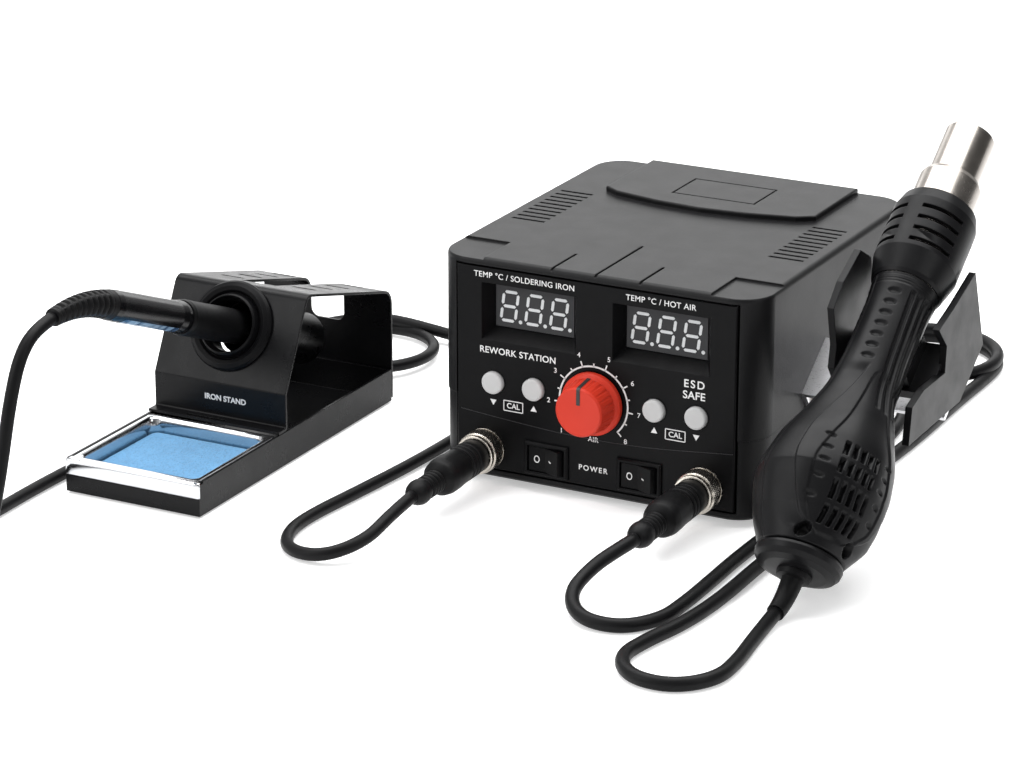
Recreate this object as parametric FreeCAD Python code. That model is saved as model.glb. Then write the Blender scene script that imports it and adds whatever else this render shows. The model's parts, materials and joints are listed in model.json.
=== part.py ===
"""Hot-air and soldering-iron station with a separate iron stand.

Millimetres, +Z up, front towards -Y. While the pieces are drawn, X = 0 is the middle of the
station's front, Y = 0 is the face of its front panel and Z = 0 is the table. The last step
moves everything so that the origin is the bottom centre of the whole set without its cords.
"""
import FreeCAD
import Part
import math
import os

V = FreeCAD.Vector

# ---- driving dimensions of the station ------------------------------------------------
BODY_W = 153.0
BODY_D = 168.0
FOOT_H = 3.0
SPLIT_Z = 39.0
BODY_TOP = 102.5
CORNER_R = 15.0
WALL = 2.5
FASCIA_W = 132.0
FASCIA_T = 3.0
FASCIA_BOTTOM = 7.0
FASCIA_TOP = 98.5
GROOVE = 0.8
LID_H = 2.5

DISPLAY_X = 31.3
DISPLAY_Z = 80.5
BEZEL_Z = 78.8
DISPLAY_W = 37.7
DISPLAY_H = 19.0
BEZEL_W = 45.5
BEZEL_H = 25.8
BEZEL_DEPTH = 6.0
BUTTON_X = (-48.3, -28.7, 28.7, 48.3)
BUTTON_Z = 47.0
BUTTON_R = 5.0
KNOB_Z = 45.7
KNOB_SKIRT_R = 14.0
KNOB_FACE_R = 10.3
KNOB_LENGTH = 14.0
SHAFT_R = 3.0
ROCKER_X = 22.2
SWITCH_Z = 15.7
ROCKER_R = 8.5
ROCKER_TILT = 11.0
ROCKER_PIVOT_Y = 1.0
SOCKET_X = 51.9
SOCKET_Z = 16.2
RING_R = 9.4
RING_LENGTH = 9.4

# ---- driving dimensions of the iron stand and the iron --------------------------------
STAND_X = -173.3
STAND_W = 68.0
STAND_FRONT = -95.4
STAND_BACK = 71.0
STAND_RIM = 16.2
SHEET = 1.2
TRAY_BACK = -30.2
TRAY_RIM_W = 2.4
TRAY_DEPTH = 11.0
HOUSING_PROFILE = (
    (-29.5, 17.8), (-23.5, 17.8), (-23.5, 33.5), (-3.0, 74.0), (72.4, 54.1), (72.4, 2.4))
HOUSING_RADII = (0.0, 0.8, 2.0, 5.0, 8.0, 0.0)
NOTCH_W = 18.0
NOTCH_FRONT = 11.0
NOTCH_BOTTOM = 36.0
FACE_LEAN = math.degrees(math.atan2(20.5, 40.5))
FUNNEL_R = 20.5
IRON_TILT = 21.5
IRON_POINT = V(STAND_X, -17.5, 58.9)
GRIP_R = 7.9
HANDLE_R = 6.9
BOOT_START = 98.1
BOOT_LENGTH = 40.0
BOOT_TURN = 26.0

# ---- driving dimensions of the hot-air gun and its cradle -----------------------------
GUN_X = 122.5
GUN_TILT = 35.2
GUN_POINT = V(GUN_X, -32.0, 47.0)
CAP_TILT = 44.5
COLLAR_R = 18.3
COLLAR_SLOTS = ((0.0, 62.0), (-84.0, 62.0), (-168.0, 62.0), (119.0, 60.0))
BARREL_R = 13.8
NOZZLE_R = 11.0
SHELL_WALL = 2.2
GUN_BOOT_LENGTH = 20.0
GUN_BOOT_END_LEAN = 10.0
GUN_TURN = 46.0
CRADLE_HALF = 19.0
CRADLE_WALL = 3.0
BRACKET_T = 2.0
OUTER_WING = ((69.9, -19.6), (50.3, -6.0), (38.1, -1.8), (26.9, -13.2), (75.0, -46.0), (106.0, -46.0),
              (115.8, -9.6), (91.6, -2.9), (74.9, 2.8), (77.3, -10.7))
INNER_WING = ((54.0, -23.0), (98.0, -23.0), (106.2, 3.6), (100.1, 15.7), (80.3, 18.9), (67.3, 17.1),
              (60.9, 0.6), (54.0, -6.0))
CRADLE_SCREWS = ((70.0, -53.0), (89.0, -53.0))

# ---- cords ----------------------------------------------------------------------------
IRON_CORD_D = 5.6
GUN_CORD_D = 6.0
COIL_R = 34.0
CORD_END_Y = -66.5

NODES = {}
CORD_NODES = []


# ---- small builders -------------------------------------------------------------------
def box(x0, x1, y0, y1, z0, z1):
    return Part.makeBox(x1 - x0, y1 - y0, z1 - z0, V(x0, y0, z0))


def cyl(base, direction, radius, length):
    return Part.makeCylinder(radius, length, base, direction)


def tube(base, direction, outer, inner, length):
    return cyl(base, direction, outer, length).cut(cyl(base, direction, inner, length))


def rounded_block(x0, x1, y0, y1, z0, z1, radius):
    """Block with its four upright edges rounded."""
    block = box(x0, x1, y0, y1, z0, z1)
    upright = [e for e in block.Edges if abs(e.Vertexes[0].Z - e.Vertexes[1].Z) > 0.5 * (z1 - z0)]
    return block.makeFillet(radius, upright)


def edges_at(shape, axis, value, tolerance=0.01):
    """Edges that lie wholly at one X, Y or Z value."""
    found = []
    for edge in shape.Edges:
        bounds = edge.BoundBox
        low = (bounds.XMin, bounds.YMin, bounds.ZMin)[axis]
        high = (bounds.XMax, bounds.YMax, bounds.ZMax)[axis]
        if abs(low - value) < tolerance and abs(high - value) < tolerance:
            found.append(edge)
    return found


def polygon_face(points):
    return Part.Face(Part.makePolygon([V(*p) for p in points] + [V(*points[0])]))


def prism(points, direction):
    return polygon_face(points).extrude(direction)


def revolved(base, direction, profile):
    """Solid of revolution; the profile is (distance along the axis, radius) pairs."""
    points = [(0.0, profile[0][0])]
    for along, radius in profile:
        points.append((radius, along))
    points.append((0.0, profile[-1][0]))
    wire = Part.makePolygon([V(r, 0, a) for r, a in points] + [V(points[0][0], 0, points[0][1])])
    solid = Part.Face(wire).revolve(V(0, 0, 0), V(0, 0, 1), 360)
    return place_along(solid, base, direction)


def place_along(shape, base, direction):
    """Turn a shape drawn along +Z so that it runs along direction from base."""
    turn = FreeCAD.Rotation(V(0, 0, 1), direction)
    moved = shape.copy()
    moved.Placement = FreeCAD.Placement(base, turn).multiply(moved.Placement)
    return moved


def tilted(degrees, sign=1.0):
    """Unit vector in the YZ plane, leaning up from +Y (or from -Y with sign -1)."""
    angle = math.radians(degrees)
    return V(0, sign * math.cos(angle), math.sin(angle))


def rounded_path(points, radii):
    """Corner-rounded open path through points in a plane X = 0, as a list of edges."""
    edges = []
    last = V(0, *points[0])
    for i in range(1, len(points) - 1):
        corner = V(0, *points[i])
        before = (last - corner).normalize()
        after = (V(0, *points[i + 1]) - corner).normalize()
        if radii[i] < 0.01:
            edges.append(Part.LineSegment(last, corner).toShape())
            last = corner
            continue
        half = 0.5 * before.getAngle(after)
        reach = radii[i] / math.tan(half)
        start = corner + before * reach
        end = corner + after * reach
        middle_dir = (before + after).normalize()
        middle = corner + middle_dir * (radii[i] / math.sin(half) - radii[i])
        edges.append(Part.LineSegment(last, start).toShape())
        edges.append(Part.Arc(start, middle, end).toShape())
        last = end
    edges.append(Part.LineSegment(last, V(0, *points[-1])).toShape())
    return edges


def bent_sheet(points, radii, thickness, width, x_middle):
    """Sheet of constant thickness bent along an outline that gives its outer side."""
    outer = Part.Wire(rounded_path(points, radii))
    face = outer.makeOffset2D(thickness, 2, True, True)
    if not isinstance(face, Part.Face):
        face = Part.Face(face)
    solid = face.extrude(V(width, 0, 0))
    solid.translate(V(x_middle - 0.5 * width, 0, 0))
    return solid


def add(name, shape, cord=False):
    shape = shape.removeSplitter() if not cord else shape
    NODES[name] = shape
    if cord:
        CORD_NODES.append(name)


# ---- station housing ------------------------------------------------------------------
def body_block(z0, z1, inset=0.0):
    half = 0.5 * BODY_W - inset
    radius = CORNER_R - inset
    return rounded_block(-half, half, inset, BODY_D - inset, z0, z1, radius)


def front_window():
    """The opening in the front wall that the front panel fills, with a thin groove all round."""
    half = 0.5 * FASCIA_W + GROOVE
    return box(-half, half, -1.0, 3.0 * WALL, FASCIA_BOTTOM - GROOVE, FASCIA_TOP + GROOVE)


def rear_window():
    return box(-60.2, 60.2, BODY_D - 3.0 * WALL, BODY_D + 1.0, 9.8, 96.2)


def make_lower_housing():
    shell = body_block(FOOT_H, SPLIT_Z, 0.5)
    shell = shell.makeChamfer(1.2, edges_at(shell, 2, FOOT_H))
    shell = shell.cut(body_block(FOOT_H + WALL, SPLIT_Z + 1.0, 0.5 + WALL))
    shell = shell.cut(front_window()).cut(rear_window())
    for row in range(8):
        y = 60.0 + 8.0 * row
        shell = shell.cut(box(-30.0, 30.0, y, y + 2.5, FOOT_H - 1.0, FOOT_H + WALL + 1.0))
    add("lower_housing", shell)


def vent_slots(x0, x1, z0, z1):
    slots = []
    for i in range(10):
        y = 58.5 + 5.3 * i
        slots.append(box(x0, x1, y, y + 1.8, z0, z1))
    return slots


def make_top_cover():
    shell = body_block(SPLIT_Z, BODY_TOP)
    shell = shell.makeFillet(2.5, edges_at(shell, 2, BODY_TOP))
    lid = prism(
        [(-51.5, 116, BODY_TOP - 1), (-44, 111, BODY_TOP - 1), (-22, 106, BODY_TOP - 1),
         (0, 104, BODY_TOP - 1), (22, 106, BODY_TOP - 1), (44, 111, BODY_TOP - 1),
         (51.5, 116, BODY_TOP - 1), (51.5, 165, BODY_TOP - 1), (-51.5, 165, BODY_TOP - 1)],
        V(0, 0, LID_H + 1))
    lid = lid.makeFillet(0.8, edges_at(lid, 2, BODY_TOP + LID_H))
    shell = shell.fuse(lid)
    shell = shell.cut(body_block(SPLIT_Z - 1.0, BODY_TOP - WALL, WALL))
    shell = shell.cut(front_window()).cut(rear_window())
    left_slots = vent_slots(-70.0, -54.0, 90.0, BODY_TOP + 1.0)
    right_slots = vent_slots(54.0, 70.0, 90.0, BODY_TOP + 1.0)
    for slot in left_slots + right_slots:
        shell = shell.cut(slot)
    step = 0.9
    for x0, x1 in ((-80.0, -53.5), (53.5, 80.0)):
        shell = shell.cut(box(x0, x1, -1.0, 26.0, BODY_TOP - step, BODY_TOP + 1.0))
    for x, length in ((-20.5, 24.0), (0.0, 47.0), (21.0, 24.0)):
        shell = shell.cut(box(x - 0.6, x + 0.6, -1.0, length, BODY_TOP - 1.1, BODY_TOP + 1.0))
    ring = box(-20.5, 20.5, 119.5, 145.5, BODY_TOP + LID_H - 0.6, BODY_TOP + LID_H + 1)
    ring = ring.cut(box(-19.6, 19.6, 120.4, 144.6, BODY_TOP, BODY_TOP + LID_H + 2))
    shell = shell.cut(ring)
    add("top_cover", shell)


def upright_rectangle(x, z, half_w, half_h, y):
    points = [V(x - half_w, y, z - half_h), V(x + half_w, y, z - half_h),
              V(x + half_w, y, z + half_h), V(x - half_w, y, z + half_h)]
    return Part.makePolygon(points + [points[0]])


def display_opening(x):
    """Tapered opening from the bezel's front edge back to the display's own outline."""
    half_w = 0.5 * DISPLAY_W + 0.3
    half_h = 0.5 * DISPLAY_H + 0.3
    front = upright_rectangle(x, BEZEL_Z, 0.5 * BEZEL_W, 0.5 * BEZEL_H, 0.0)
    back = upright_rectangle(x, DISPLAY_Z, half_w, half_h, BEZEL_DEPTH)
    taper = Part.makeLoft([front, back], True, True)
    before = box(x - 0.5 * BEZEL_W, x + 0.5 * BEZEL_W, -1.0, 0.0,
                 BEZEL_Z - 0.5 * BEZEL_H, BEZEL_Z + 0.5 * BEZEL_H)
    behind = box(x - half_w, x + half_w, BEZEL_DEPTH, BEZEL_DEPTH + 2.0, DISPLAY_Z - half_h,
                 DISPLAY_Z + half_h)
    return taper.fuse(before).fuse(behind)


def make_fascia():
    half = 0.5 * FASCIA_W
    plate = box(-half, half, 0.0, FASCIA_T, FASCIA_BOTTOM, FASCIA_TOP)
    edge = [e for e in edges_at(plate, 1, 0.0)]
    plate = plate.makeFillet(0.8, edge)
    half_w = 0.5 * BEZEL_W + 1.5
    half_h = 0.5 * BEZEL_H + 1.5
    for x in (-DISPLAY_X, DISPLAY_X):
        plate = plate.fuse(box(x - half_w, x + half_w, 0.5, BEZEL_DEPTH + 0.8, BEZEL_Z - half_h,
                               BEZEL_Z + half_h))
        plate = plate.cut(display_opening(x))
    for x in BUTTON_X:
        plate = plate.cut(cyl(V(x, -1, BUTTON_Z), V(0, 1, 0), BUTTON_R + 0.35, 12))
    plate = plate.cut(cyl(V(0, -1, KNOB_Z), V(0, 1, 0), SHAFT_R + 0.6, 12))
    for x in (-ROCKER_X, ROCKER_X):
        plate = plate.cut(box(x - 9.6, x + 9.6, -1, 6, SWITCH_Z - 6.6, SWITCH_Z + 6.6))
    for x in (-SOCKET_X, SOCKET_X):
        plate = plate.cut(cyl(V(x, -1, SOCKET_Z), V(0, 1, 0), 7.4, 8))
    add("front_panel", plate)


def make_rear():
    plate = box(-60, 60, BODY_D - 3.0, BODY_D - 0.6, 10, 96)
    plate = plate.cut(box(20, 48, BODY_D - 6, BODY_D + 1, 20, 51))
    for row in range(6):
        z = 56.0 + 6.0 * row
        plate = plate.cut(box(-45, 45, BODY_D - 6, BODY_D + 1, z, z + 2.4))
    add("rear_panel", plate)
    inlet = box(20.2, 47.8, BODY_D - 20, BODY_D + 2.4, 20.2, 50.8)
    flange = box(17.5, 50.5, BODY_D - 0.6, BODY_D + 2.4, 17.5, 53.5)
    inlet = inlet.fuse(flange).cut(box(22.5, 45.5, BODY_D - 15, BODY_D + 3, 22.4, 38.4))
    drawer = box(23.0, 45.0, BODY_D - 10, BODY_D + 3.4, 42.5, 49.5)
    inlet = inlet.fuse(drawer)
    for dx, dz in ((-6.5, -2.5), (0.0, 1.8), (6.5, -2.5)):
        inlet = inlet.fuse(box(34 + dx - 1, 34 + dx + 1, BODY_D - 16, BODY_D - 2, 30 + dz - 2,
                               30 + dz + 2))
    add("mains_inlet", inlet)


# ---- inside the station ---------------------------------------------------------------
def make_electronics():
    for side, x in (("iron", -DISPLAY_X), ("gun", DISPLAY_X)):
        module = box(x - 0.5 * DISPLAY_W, x + 0.5 * DISPLAY_W, BEZEL_DEPTH, 15.0,
                     DISPLAY_Z - 0.5 * DISPLAY_H, DISPLAY_Z + 0.5 * DISPLAY_H)
        add(side + "_display", module)
    pieces = [box(-60, 60, 15.0, 16.6, 34, 95)]
    for x in BUTTON_X:
        pieces.append(box(x - 3, x + 3, 8.0, 15.0, BUTTON_Z - 3, BUTTON_Z + 3))
    pot = box(-8.5, 8.5, 8.0, 15.0, KNOB_Z - 8.5, KNOB_Z + 8.5)
    pot = pot.fuse(cyl(V(0, FASCIA_T, KNOB_Z), V(0, 1, 0), 4.5, 5.2))
    pot = pot.cut(cyl(V(0, FASCIA_T - 1, KNOB_Z), V(0, 1, 0), SHAFT_R + 0.05, 9.0))
    pieces.append(pot)
    add("control_board", Part.makeCompound(pieces))
    board = box(-66, 66, 55, 158, 13.0, 14.6)
    legs = [box(sx * 62 - 3, sx * 62 + 3, y - 3, y + 3, FOOT_H + WALL, 13.0)
            for sx in (-1, 1) for y in (60, 153)]
    for leg in legs:
        board = board.fuse(leg)
    add("power_board", board)
    core = box(-58, -6, 78, 122, 14.6, 58)
    core = core.makeFillet(2.0, [e for e in core.Edges if e.Length > 30])
    winding = rounded_block(-50, -14, 68, 132, 20, 52, 6)
    add("transformer", core.fuse(winding))
    sink = box(18, 52, 70, 74, 14.6, 52)
    for i in range(6):
        sink = sink.fuse(box(18 + 6.2 * i, 20 + 6.2 * i, 70, 96, 14.6, 52))
    regulators = [box(22 + 14 * i, 32 + 14 * i, 65.4, 70, 24, 40) for i in range(2)]
    add("heatsink", Part.makeCompound([sink] + regulators))


def make_switches():
    for side, x in (("iron", -ROCKER_X), ("gun", ROCKER_X)):
        bezel = box(x - 10.5, x + 10.5, -1.6, 0.0, SWITCH_Z - 7.5, SWITCH_Z + 7.5)
        bezel = bezel.makeChamfer(0.8, edges_at(bezel, 1, -1.6))
        frame = bezel.fuse(box(x - 9.5, x + 9.5, 0.0, 14.0, SWITCH_Z - 6.5, SWITCH_Z + 6.5))
        frame = frame.cut(box(x - 8.85, x + 8.85, -2, 11, SWITCH_Z - 5.9, SWITCH_Z + 5.9))
        for dx in (-5.0, 0.0, 5.0):
            frame = frame.fuse(box(x + dx - 0.4, x + dx + 0.4, 14, 22, SWITCH_Z - 2.4, SWITCH_Z + 2.4))
        add(side + "_switch_frame", frame)
        z0 = SWITCH_Z - 5.5
        rise = ROCKER_R * math.tan(math.radians(ROCKER_TILT))
        front = -2.2
        body = prism([(x - 9, ROCKER_PIVOT_Y + front - rise, z0), (x, ROCKER_PIVOT_Y + front, z0),
                      (x + 9, ROCKER_PIVOT_Y + front - rise, z0), (x + 9, ROCKER_PIVOT_Y + 6, z0),
                      (x - 9, ROCKER_PIVOT_Y + 6, z0)], V(0, 0, 11.0))
        body = body.common(cyl(V(x, ROCKER_PIVOT_Y, z0), V(0, 0, 1), ROCKER_R, 11.0))
        body.rotate(V(x, ROCKER_PIVOT_Y, 0), V(0, 0, 1), -ROCKER_TILT)
        add(side + "_rocker", body)


def make_buttons():
    names = ("iron_down_button", "iron_up_button", "gun_up_button", "gun_down_button")
    for name, x in zip(names, BUTTON_X):
        cap = cyl(V(x, -2.2, BUTTON_Z), V(0, 1, 0), BUTTON_R, 7.0)
        cap = cap.makeFillet(1.0, edges_at(cap, 1, -2.2))
        flange = cyl(V(x, FASCIA_T + 0.4, BUTTON_Z), V(0, 1, 0), BUTTON_R + 1.2, 1.4)
        add(name, cap.fuse(flange))


def make_knob():
    front = -0.9 - KNOB_LENGTH
    profile = [(0, 6.0), (0, KNOB_SKIRT_R), (2.0, KNOB_SKIRT_R), (3.0, KNOB_SKIRT_R - 0.9),
               (3.6, 12.2), (KNOB_LENGTH - 0.8, KNOB_FACE_R + 0.7), (KNOB_LENGTH, KNOB_FACE_R)]
    knob = revolved(V(0, -0.9, KNOB_Z), V(0, -1, 0), profile)
    flutes = 24
    for i in range(flutes):
        angle = 2 * math.pi * i / flutes
        centre = V(12.9 * math.cos(angle), -4.9, KNOB_Z + 12.9 * math.sin(angle))
        top = V(11.9 * math.cos(angle), front - 1, KNOB_Z + 11.9 * math.sin(angle))
        knob = knob.cut(cyl(centre, top - centre, 1.1, (top - centre).Length))
    knob = knob.cut(cyl(V(0, -0.5, KNOB_Z), V(0, -1, 0), SHAFT_R, 10.5))
    add("air_knob", knob)
    shaft = cyl(V(0, -11.0, KNOB_Z), V(0, 1, 0), SHAFT_R, 21.5)
    add("knob_shaft", shaft)


def make_connectors():
    for side, x in (("iron", -SOCKET_X), ("gun", SOCKET_X)):
        socket = tube(V(x, -9.0, SOCKET_Z), V(0, 1, 0), 7.2, 5.9, 20.0)
        socket = socket.fuse(tube(V(x, -1.3, SOCKET_Z), V(0, 1, 0), 9.2, 5.9, 1.3))
        socket = socket.fuse(tube(V(x, FASCIA_T, SOCKET_Z), V(0, 1, 0), 9.2, 5.9, 2.4))
        socket = socket.fuse(cyl(V(x, 8.0, SOCKET_Z), V(0, 1, 0), 6.2, 3.0))
        add(side + "_socket", socket)
        ring = tube(V(x, -1.7 - RING_LENGTH, SOCKET_Z), V(0, 1, 0), RING_R, 7.55, RING_LENGTH)
        for i in range(36):
            angle = 2 * math.pi * i / 36
            groove = box(-0.35, 0.35, -1.7 - RING_LENGTH + 1.6, -3.2, RING_R - 0.45, RING_R + 1)
            groove.rotate(V(0, 0, 0), V(0, 1, 0), math.degrees(angle))
            groove.translate(V(x, 0, SOCKET_Z))
            ring = ring.cut(groove)
        add(side + "_plug_ring", ring)
        profile = [(0, 5.7), (8.6, 5.7), (8.6, 7.6), (14.0, 7.8)]
        for i in range(6):
            along = 14.0 + 3.0 * i
            profile += [(along, 6.9), (along + 1.0, 6.9), (along + 1.0, 7.9), (along + 3.0, 7.9)]
        profile += [(33.0, 8.3), (38.0, 8.4), (42.0, 7.2), (43.0, 4.4)]
        for i in range(3):
            along = 43.0 + 3.4 * i
            profile += [(along + 1.4, 4.4), (along + 1.4, 5.1), (along + 3.4, 5.0), (along + 3.4, 4.4)]
        profile += [(54.5, 5.2), (57.5, 5.6), (61.0, 5.0), (63.5, 3.6), (64.0, 2.8)]
        plug = revolved(V(x, CORD_END_Y + 64.0, SOCKET_Z), V(0, -1, 0), profile)
        add(side + "_plug", plug, cord=False)


def make_feet_and_screws():
    feet = []
    for sx in (-1, 1):
        for y in (18.0, 150.0):
            feet.append(cyl(V(sx * 60, y, 0), V(0, 0, 1), 7.0, FOOT_H))
    add("station_feet", Part.makeCompound(feet))
    screws = []
    for sx in (-1, 1):
        for z in (16.0, 90.0):
            head = cyl(V(sx * 55, BODY_D - 0.6, z), V(0, 1, 0), 2.9, 1.4)
            screws.append(head.cut(box(sx * 55 - 2, sx * 55 + 2, BODY_D + 0.2, BODY_D + 2, z - 0.3,
                                       z + 0.3)))
    for along, across in CRADLE_SCREWS:
        seat = gun_point(along, across, 0.5 * BODY_W + BRACKET_T - GUN_X)
        screws.append(cyl(seat, V(1, 0, 0), 3.0, 1.6))
    add("station_screws", Part.makeCompound(screws))


# ---- gun cradle on the station's right wall -------------------------------------------
GUN_AXIS = tilted(GUN_TILT)
GUN_UP = V(0, -math.sin(math.radians(GUN_TILT)), math.cos(math.radians(GUN_TILT)))


def gun_point(along, across=0.0, side=0.0):
    return GUN_POINT + GUN_AXIS * along + GUN_UP * across + V(side, 0, 0)


def cradle_block(side0, side1, along0, along1, across0, across1):
    block = Part.makeBox(side1 - side0, along1 - along0, across1 - across0)
    block.Placement = FreeCAD.Placement(gun_point(along0, across0, side0),
                                        FreeCAD.Rotation(V(1, 0, 0), GUN_TILT))
    return block


def wing_plate(side, outline):
    """Flat side wall of the cradle, from (along, across) points of its outline."""
    return prism([tuple(gun_point(along, across, side)) for along, across in outline],
                 V(CRADLE_WALL, 0, 0))


def make_cradle():
    """Two side walls joined by a floor with a curved pad, on a steel bracket screwed to the wall."""
    cradle = cradle_block(-CRADLE_HALF - 1.0, CRADLE_HALF + 1.0, 56, 82, -22.0, -17.0)
    pad = cradle_block(-11.0, 11.0, 58, 80, -18.0, -9.0)
    cradle = cradle.fuse(pad.cut(cyl(gun_point(50), GUN_AXIS, 14.4, 40)))
    cradle = cradle.fuse(wing_plate(CRADLE_HALF, OUTER_WING))
    cradle = cradle.fuse(wing_plate(-CRADLE_HALF - CRADLE_WALL, INNER_WING))
    add("gun_cradle", cradle)
    wall_side = 0.5 * BODY_W - GUN_X
    shelf = cradle_block(wall_side, CRADLE_HALF, 64, 95, -46.0, -44.0)
    flange = cradle_block(wall_side, wall_side + BRACKET_T, 64, 95, -60.0, -45.0)
    add("cradle_bracket", shelf.fuse(flange))


# ---- hot-air gun ----------------------------------------------------------------------
CAP_AXIS = tilted(CAP_TILT)
CAP_CENTRE = V(GUN_X, -61.0, 19.5)
SHELL_SECTIONS = ((93.0, 14.6, 14.6), (80.0, 13.6, 13.6), (58.0, 13.7, 13.7), (40.0, 15.0, 14.6),
                  (22.0, 20.0, 18.5), (4.0, 26.0, 24.0), (-12.0, 28.0, 26.0))


def ellipse_wire(centre, axis, half_side, half_up):
    """Ellipse across the gun; its upright half axis lies in the YZ plane."""
    up = V(0, -axis.z, axis.y)
    half_up = min(half_up, half_side - 0.02)
    curve = Part.Ellipse(centre + V(half_side, 0, 0), centre + up * half_up, centre)
    return Part.Wire([curve.toShape()])


def gun_body(inset):
    """Smooth closed body of the gun's handle, from the neck to the end cap's seat."""
    wires = []
    for along, half_side, half_up in SHELL_SECTIONS:
        wires.append(ellipse_wire(gun_point(along), GUN_AXIS, half_side - inset, half_up - inset))
    bend = (CAP_AXIS + GUN_AXIS * 1.5).normalize()
    wires.append(ellipse_wire(CAP_CENTRE + CAP_AXIS * 13.0 + V(0, 1.5, -0.5), bend,
                              25.0 - inset, 22.5 - inset))
    wires.append(ellipse_wire(CAP_CENTRE + CAP_AXIS * 1.0, CAP_AXIS, 18.6 - inset, 18.2 - inset))
    return Part.makeLoft(wires, True, False)


def gun_front_point(along, front, lateral):
    """Point measured from the gun's own front, which is turned a little outwards in the cradle."""
    turn = math.radians(GUN_TURN)
    across = front * math.cos(turn) - lateral * math.sin(turn)
    side = front * math.sin(turn) + lateral * math.cos(turn)
    return gun_point(along, across, side)


def make_gun_shells():
    """Front and back halves; the grille and the two screw holes are in the front one."""
    body = gun_body(0.0)
    core = gun_body(SHELL_WALL)
    core = core.fuse(cyl(gun_point(70), GUN_AXIS, 11.2, 30))
    body = body.cut(core)
    turned = FreeCAD.Rotation(GUN_AXIS, GUN_TURN).multiply(FreeCAD.Rotation(V(1, 0, 0), GUN_TILT))
    for row in range(4):
        for column in range(5):
            slot = Part.makeBox(1.9, 6.2, 40.0)
            start = gun_front_point(-30.6 + 8.7 * row, 5.0, 3.8 * (column - 2) - 0.95)
            slot.Placement = FreeCAD.Placement(start, turned)
            body = body.cut(slot)
    front_way = gun_front_point(0, 1, 0) - gun_point(0)
    for lateral in (-11.0, 11.0):
        body = body.cut(cyl(gun_front_point(-34.0, 4.0, lateral), front_way, 3.2, 40.0))
    half = Part.makeBox(120.0, 200.0, 60.0)
    half.Placement = FreeCAD.Placement(gun_front_point(-90.0, 0.0, -60.0), turned)
    add("gun_shell_front", largest(body.common(half)))
    add("gun_shell_back", largest(body.cut(half)))


def largest(shape):
    return max(shape.Solids, key=lambda solid: solid.Volume)


def make_gun_front():
    collar = revolved(gun_point(93.5), GUN_AXIS,
                      [(0, 14.7), (1.5, 15.6), (12, COLLAR_R), (38, COLLAR_R), (43.5, COLLAR_R - 1.6),
                       (44, COLLAR_R - 3.4)])
    collar = collar.cut(revolved(gun_point(93.5), GUN_AXIS,
                                 [(-1, 14.15), (6, 14.15), (13, COLLAR_R - 2), (40, COLLAR_R - 2),
                                  (42.0, BARREL_R + 0.3), (45, BARREL_R + 0.3)]))
    for ring in range(4):
        along = 107.6 + 5.9 * ring
        for start, sweep in COLLAR_SLOTS:
            edge = [gun_point(along, 13.0), gun_point(along, 22.0), gun_point(along + 2.0, 22.0),
                    gun_point(along + 2.0, 13.0)]
            face = polygon_face([tuple(p) for p in edge])
            face.rotate(GUN_POINT, GUN_AXIS, start)
            collar = collar.cut(face.revolve(GUN_POINT, GUN_AXIS, sweep))
    add("gun_collar", largest(collar))
    barrel = revolved(gun_point(93.5), GUN_AXIS,
                      [(0, 12.5), (0, 14.1), (4.0, 14.1), (4.0, BARREL_R), (58.0, BARREL_R),
                       (60.0, 13.0), (61.0, 11.6), (61.0, 10.5)])
    barrel = barrel.cut(cyl(gun_point(92), GUN_AXIS, 11.6, 61.0))
    barrel = barrel.cut(cyl(gun_point(92), GUN_AXIS, 10.0, 70.0))
    add("gun_barrel", barrel)
    nozzle = tube(gun_point(154.8), GUN_AXIS, NOZZLE_R, 9.9, 24.0)
    lip = tube(gun_point(154.8), GUN_AXIS, NOZZLE_R, 8.4, 1.2)
    add("gun_nozzle", nozzle.fuse(lip))
    heater = tube(gun_point(96), GUN_AXIS, 9.6, 7.0, 54.0)
    heater = heater.fuse(cyl(gun_point(96), GUN_AXIS, 3.0, 54.0))
    heater = heater.fuse(prism_cross(96, 54.0))
    add("gun_heater", heater)


def prism_cross(along, length):
    """Mica cross that carries the heating wire."""
    flat = Part.makeBox(18.0, length, 1.0, V(-9.0, 0, -0.5))
    upright = Part.makeBox(1.0, length, 18.0, V(-0.5, 0, -9.0))
    cross = flat.fuse(upright)
    cross.Placement = FreeCAD.Placement(gun_point(along), FreeCAD.Rotation(V(1, 0, 0), GUN_TILT))
    return cross


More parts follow.
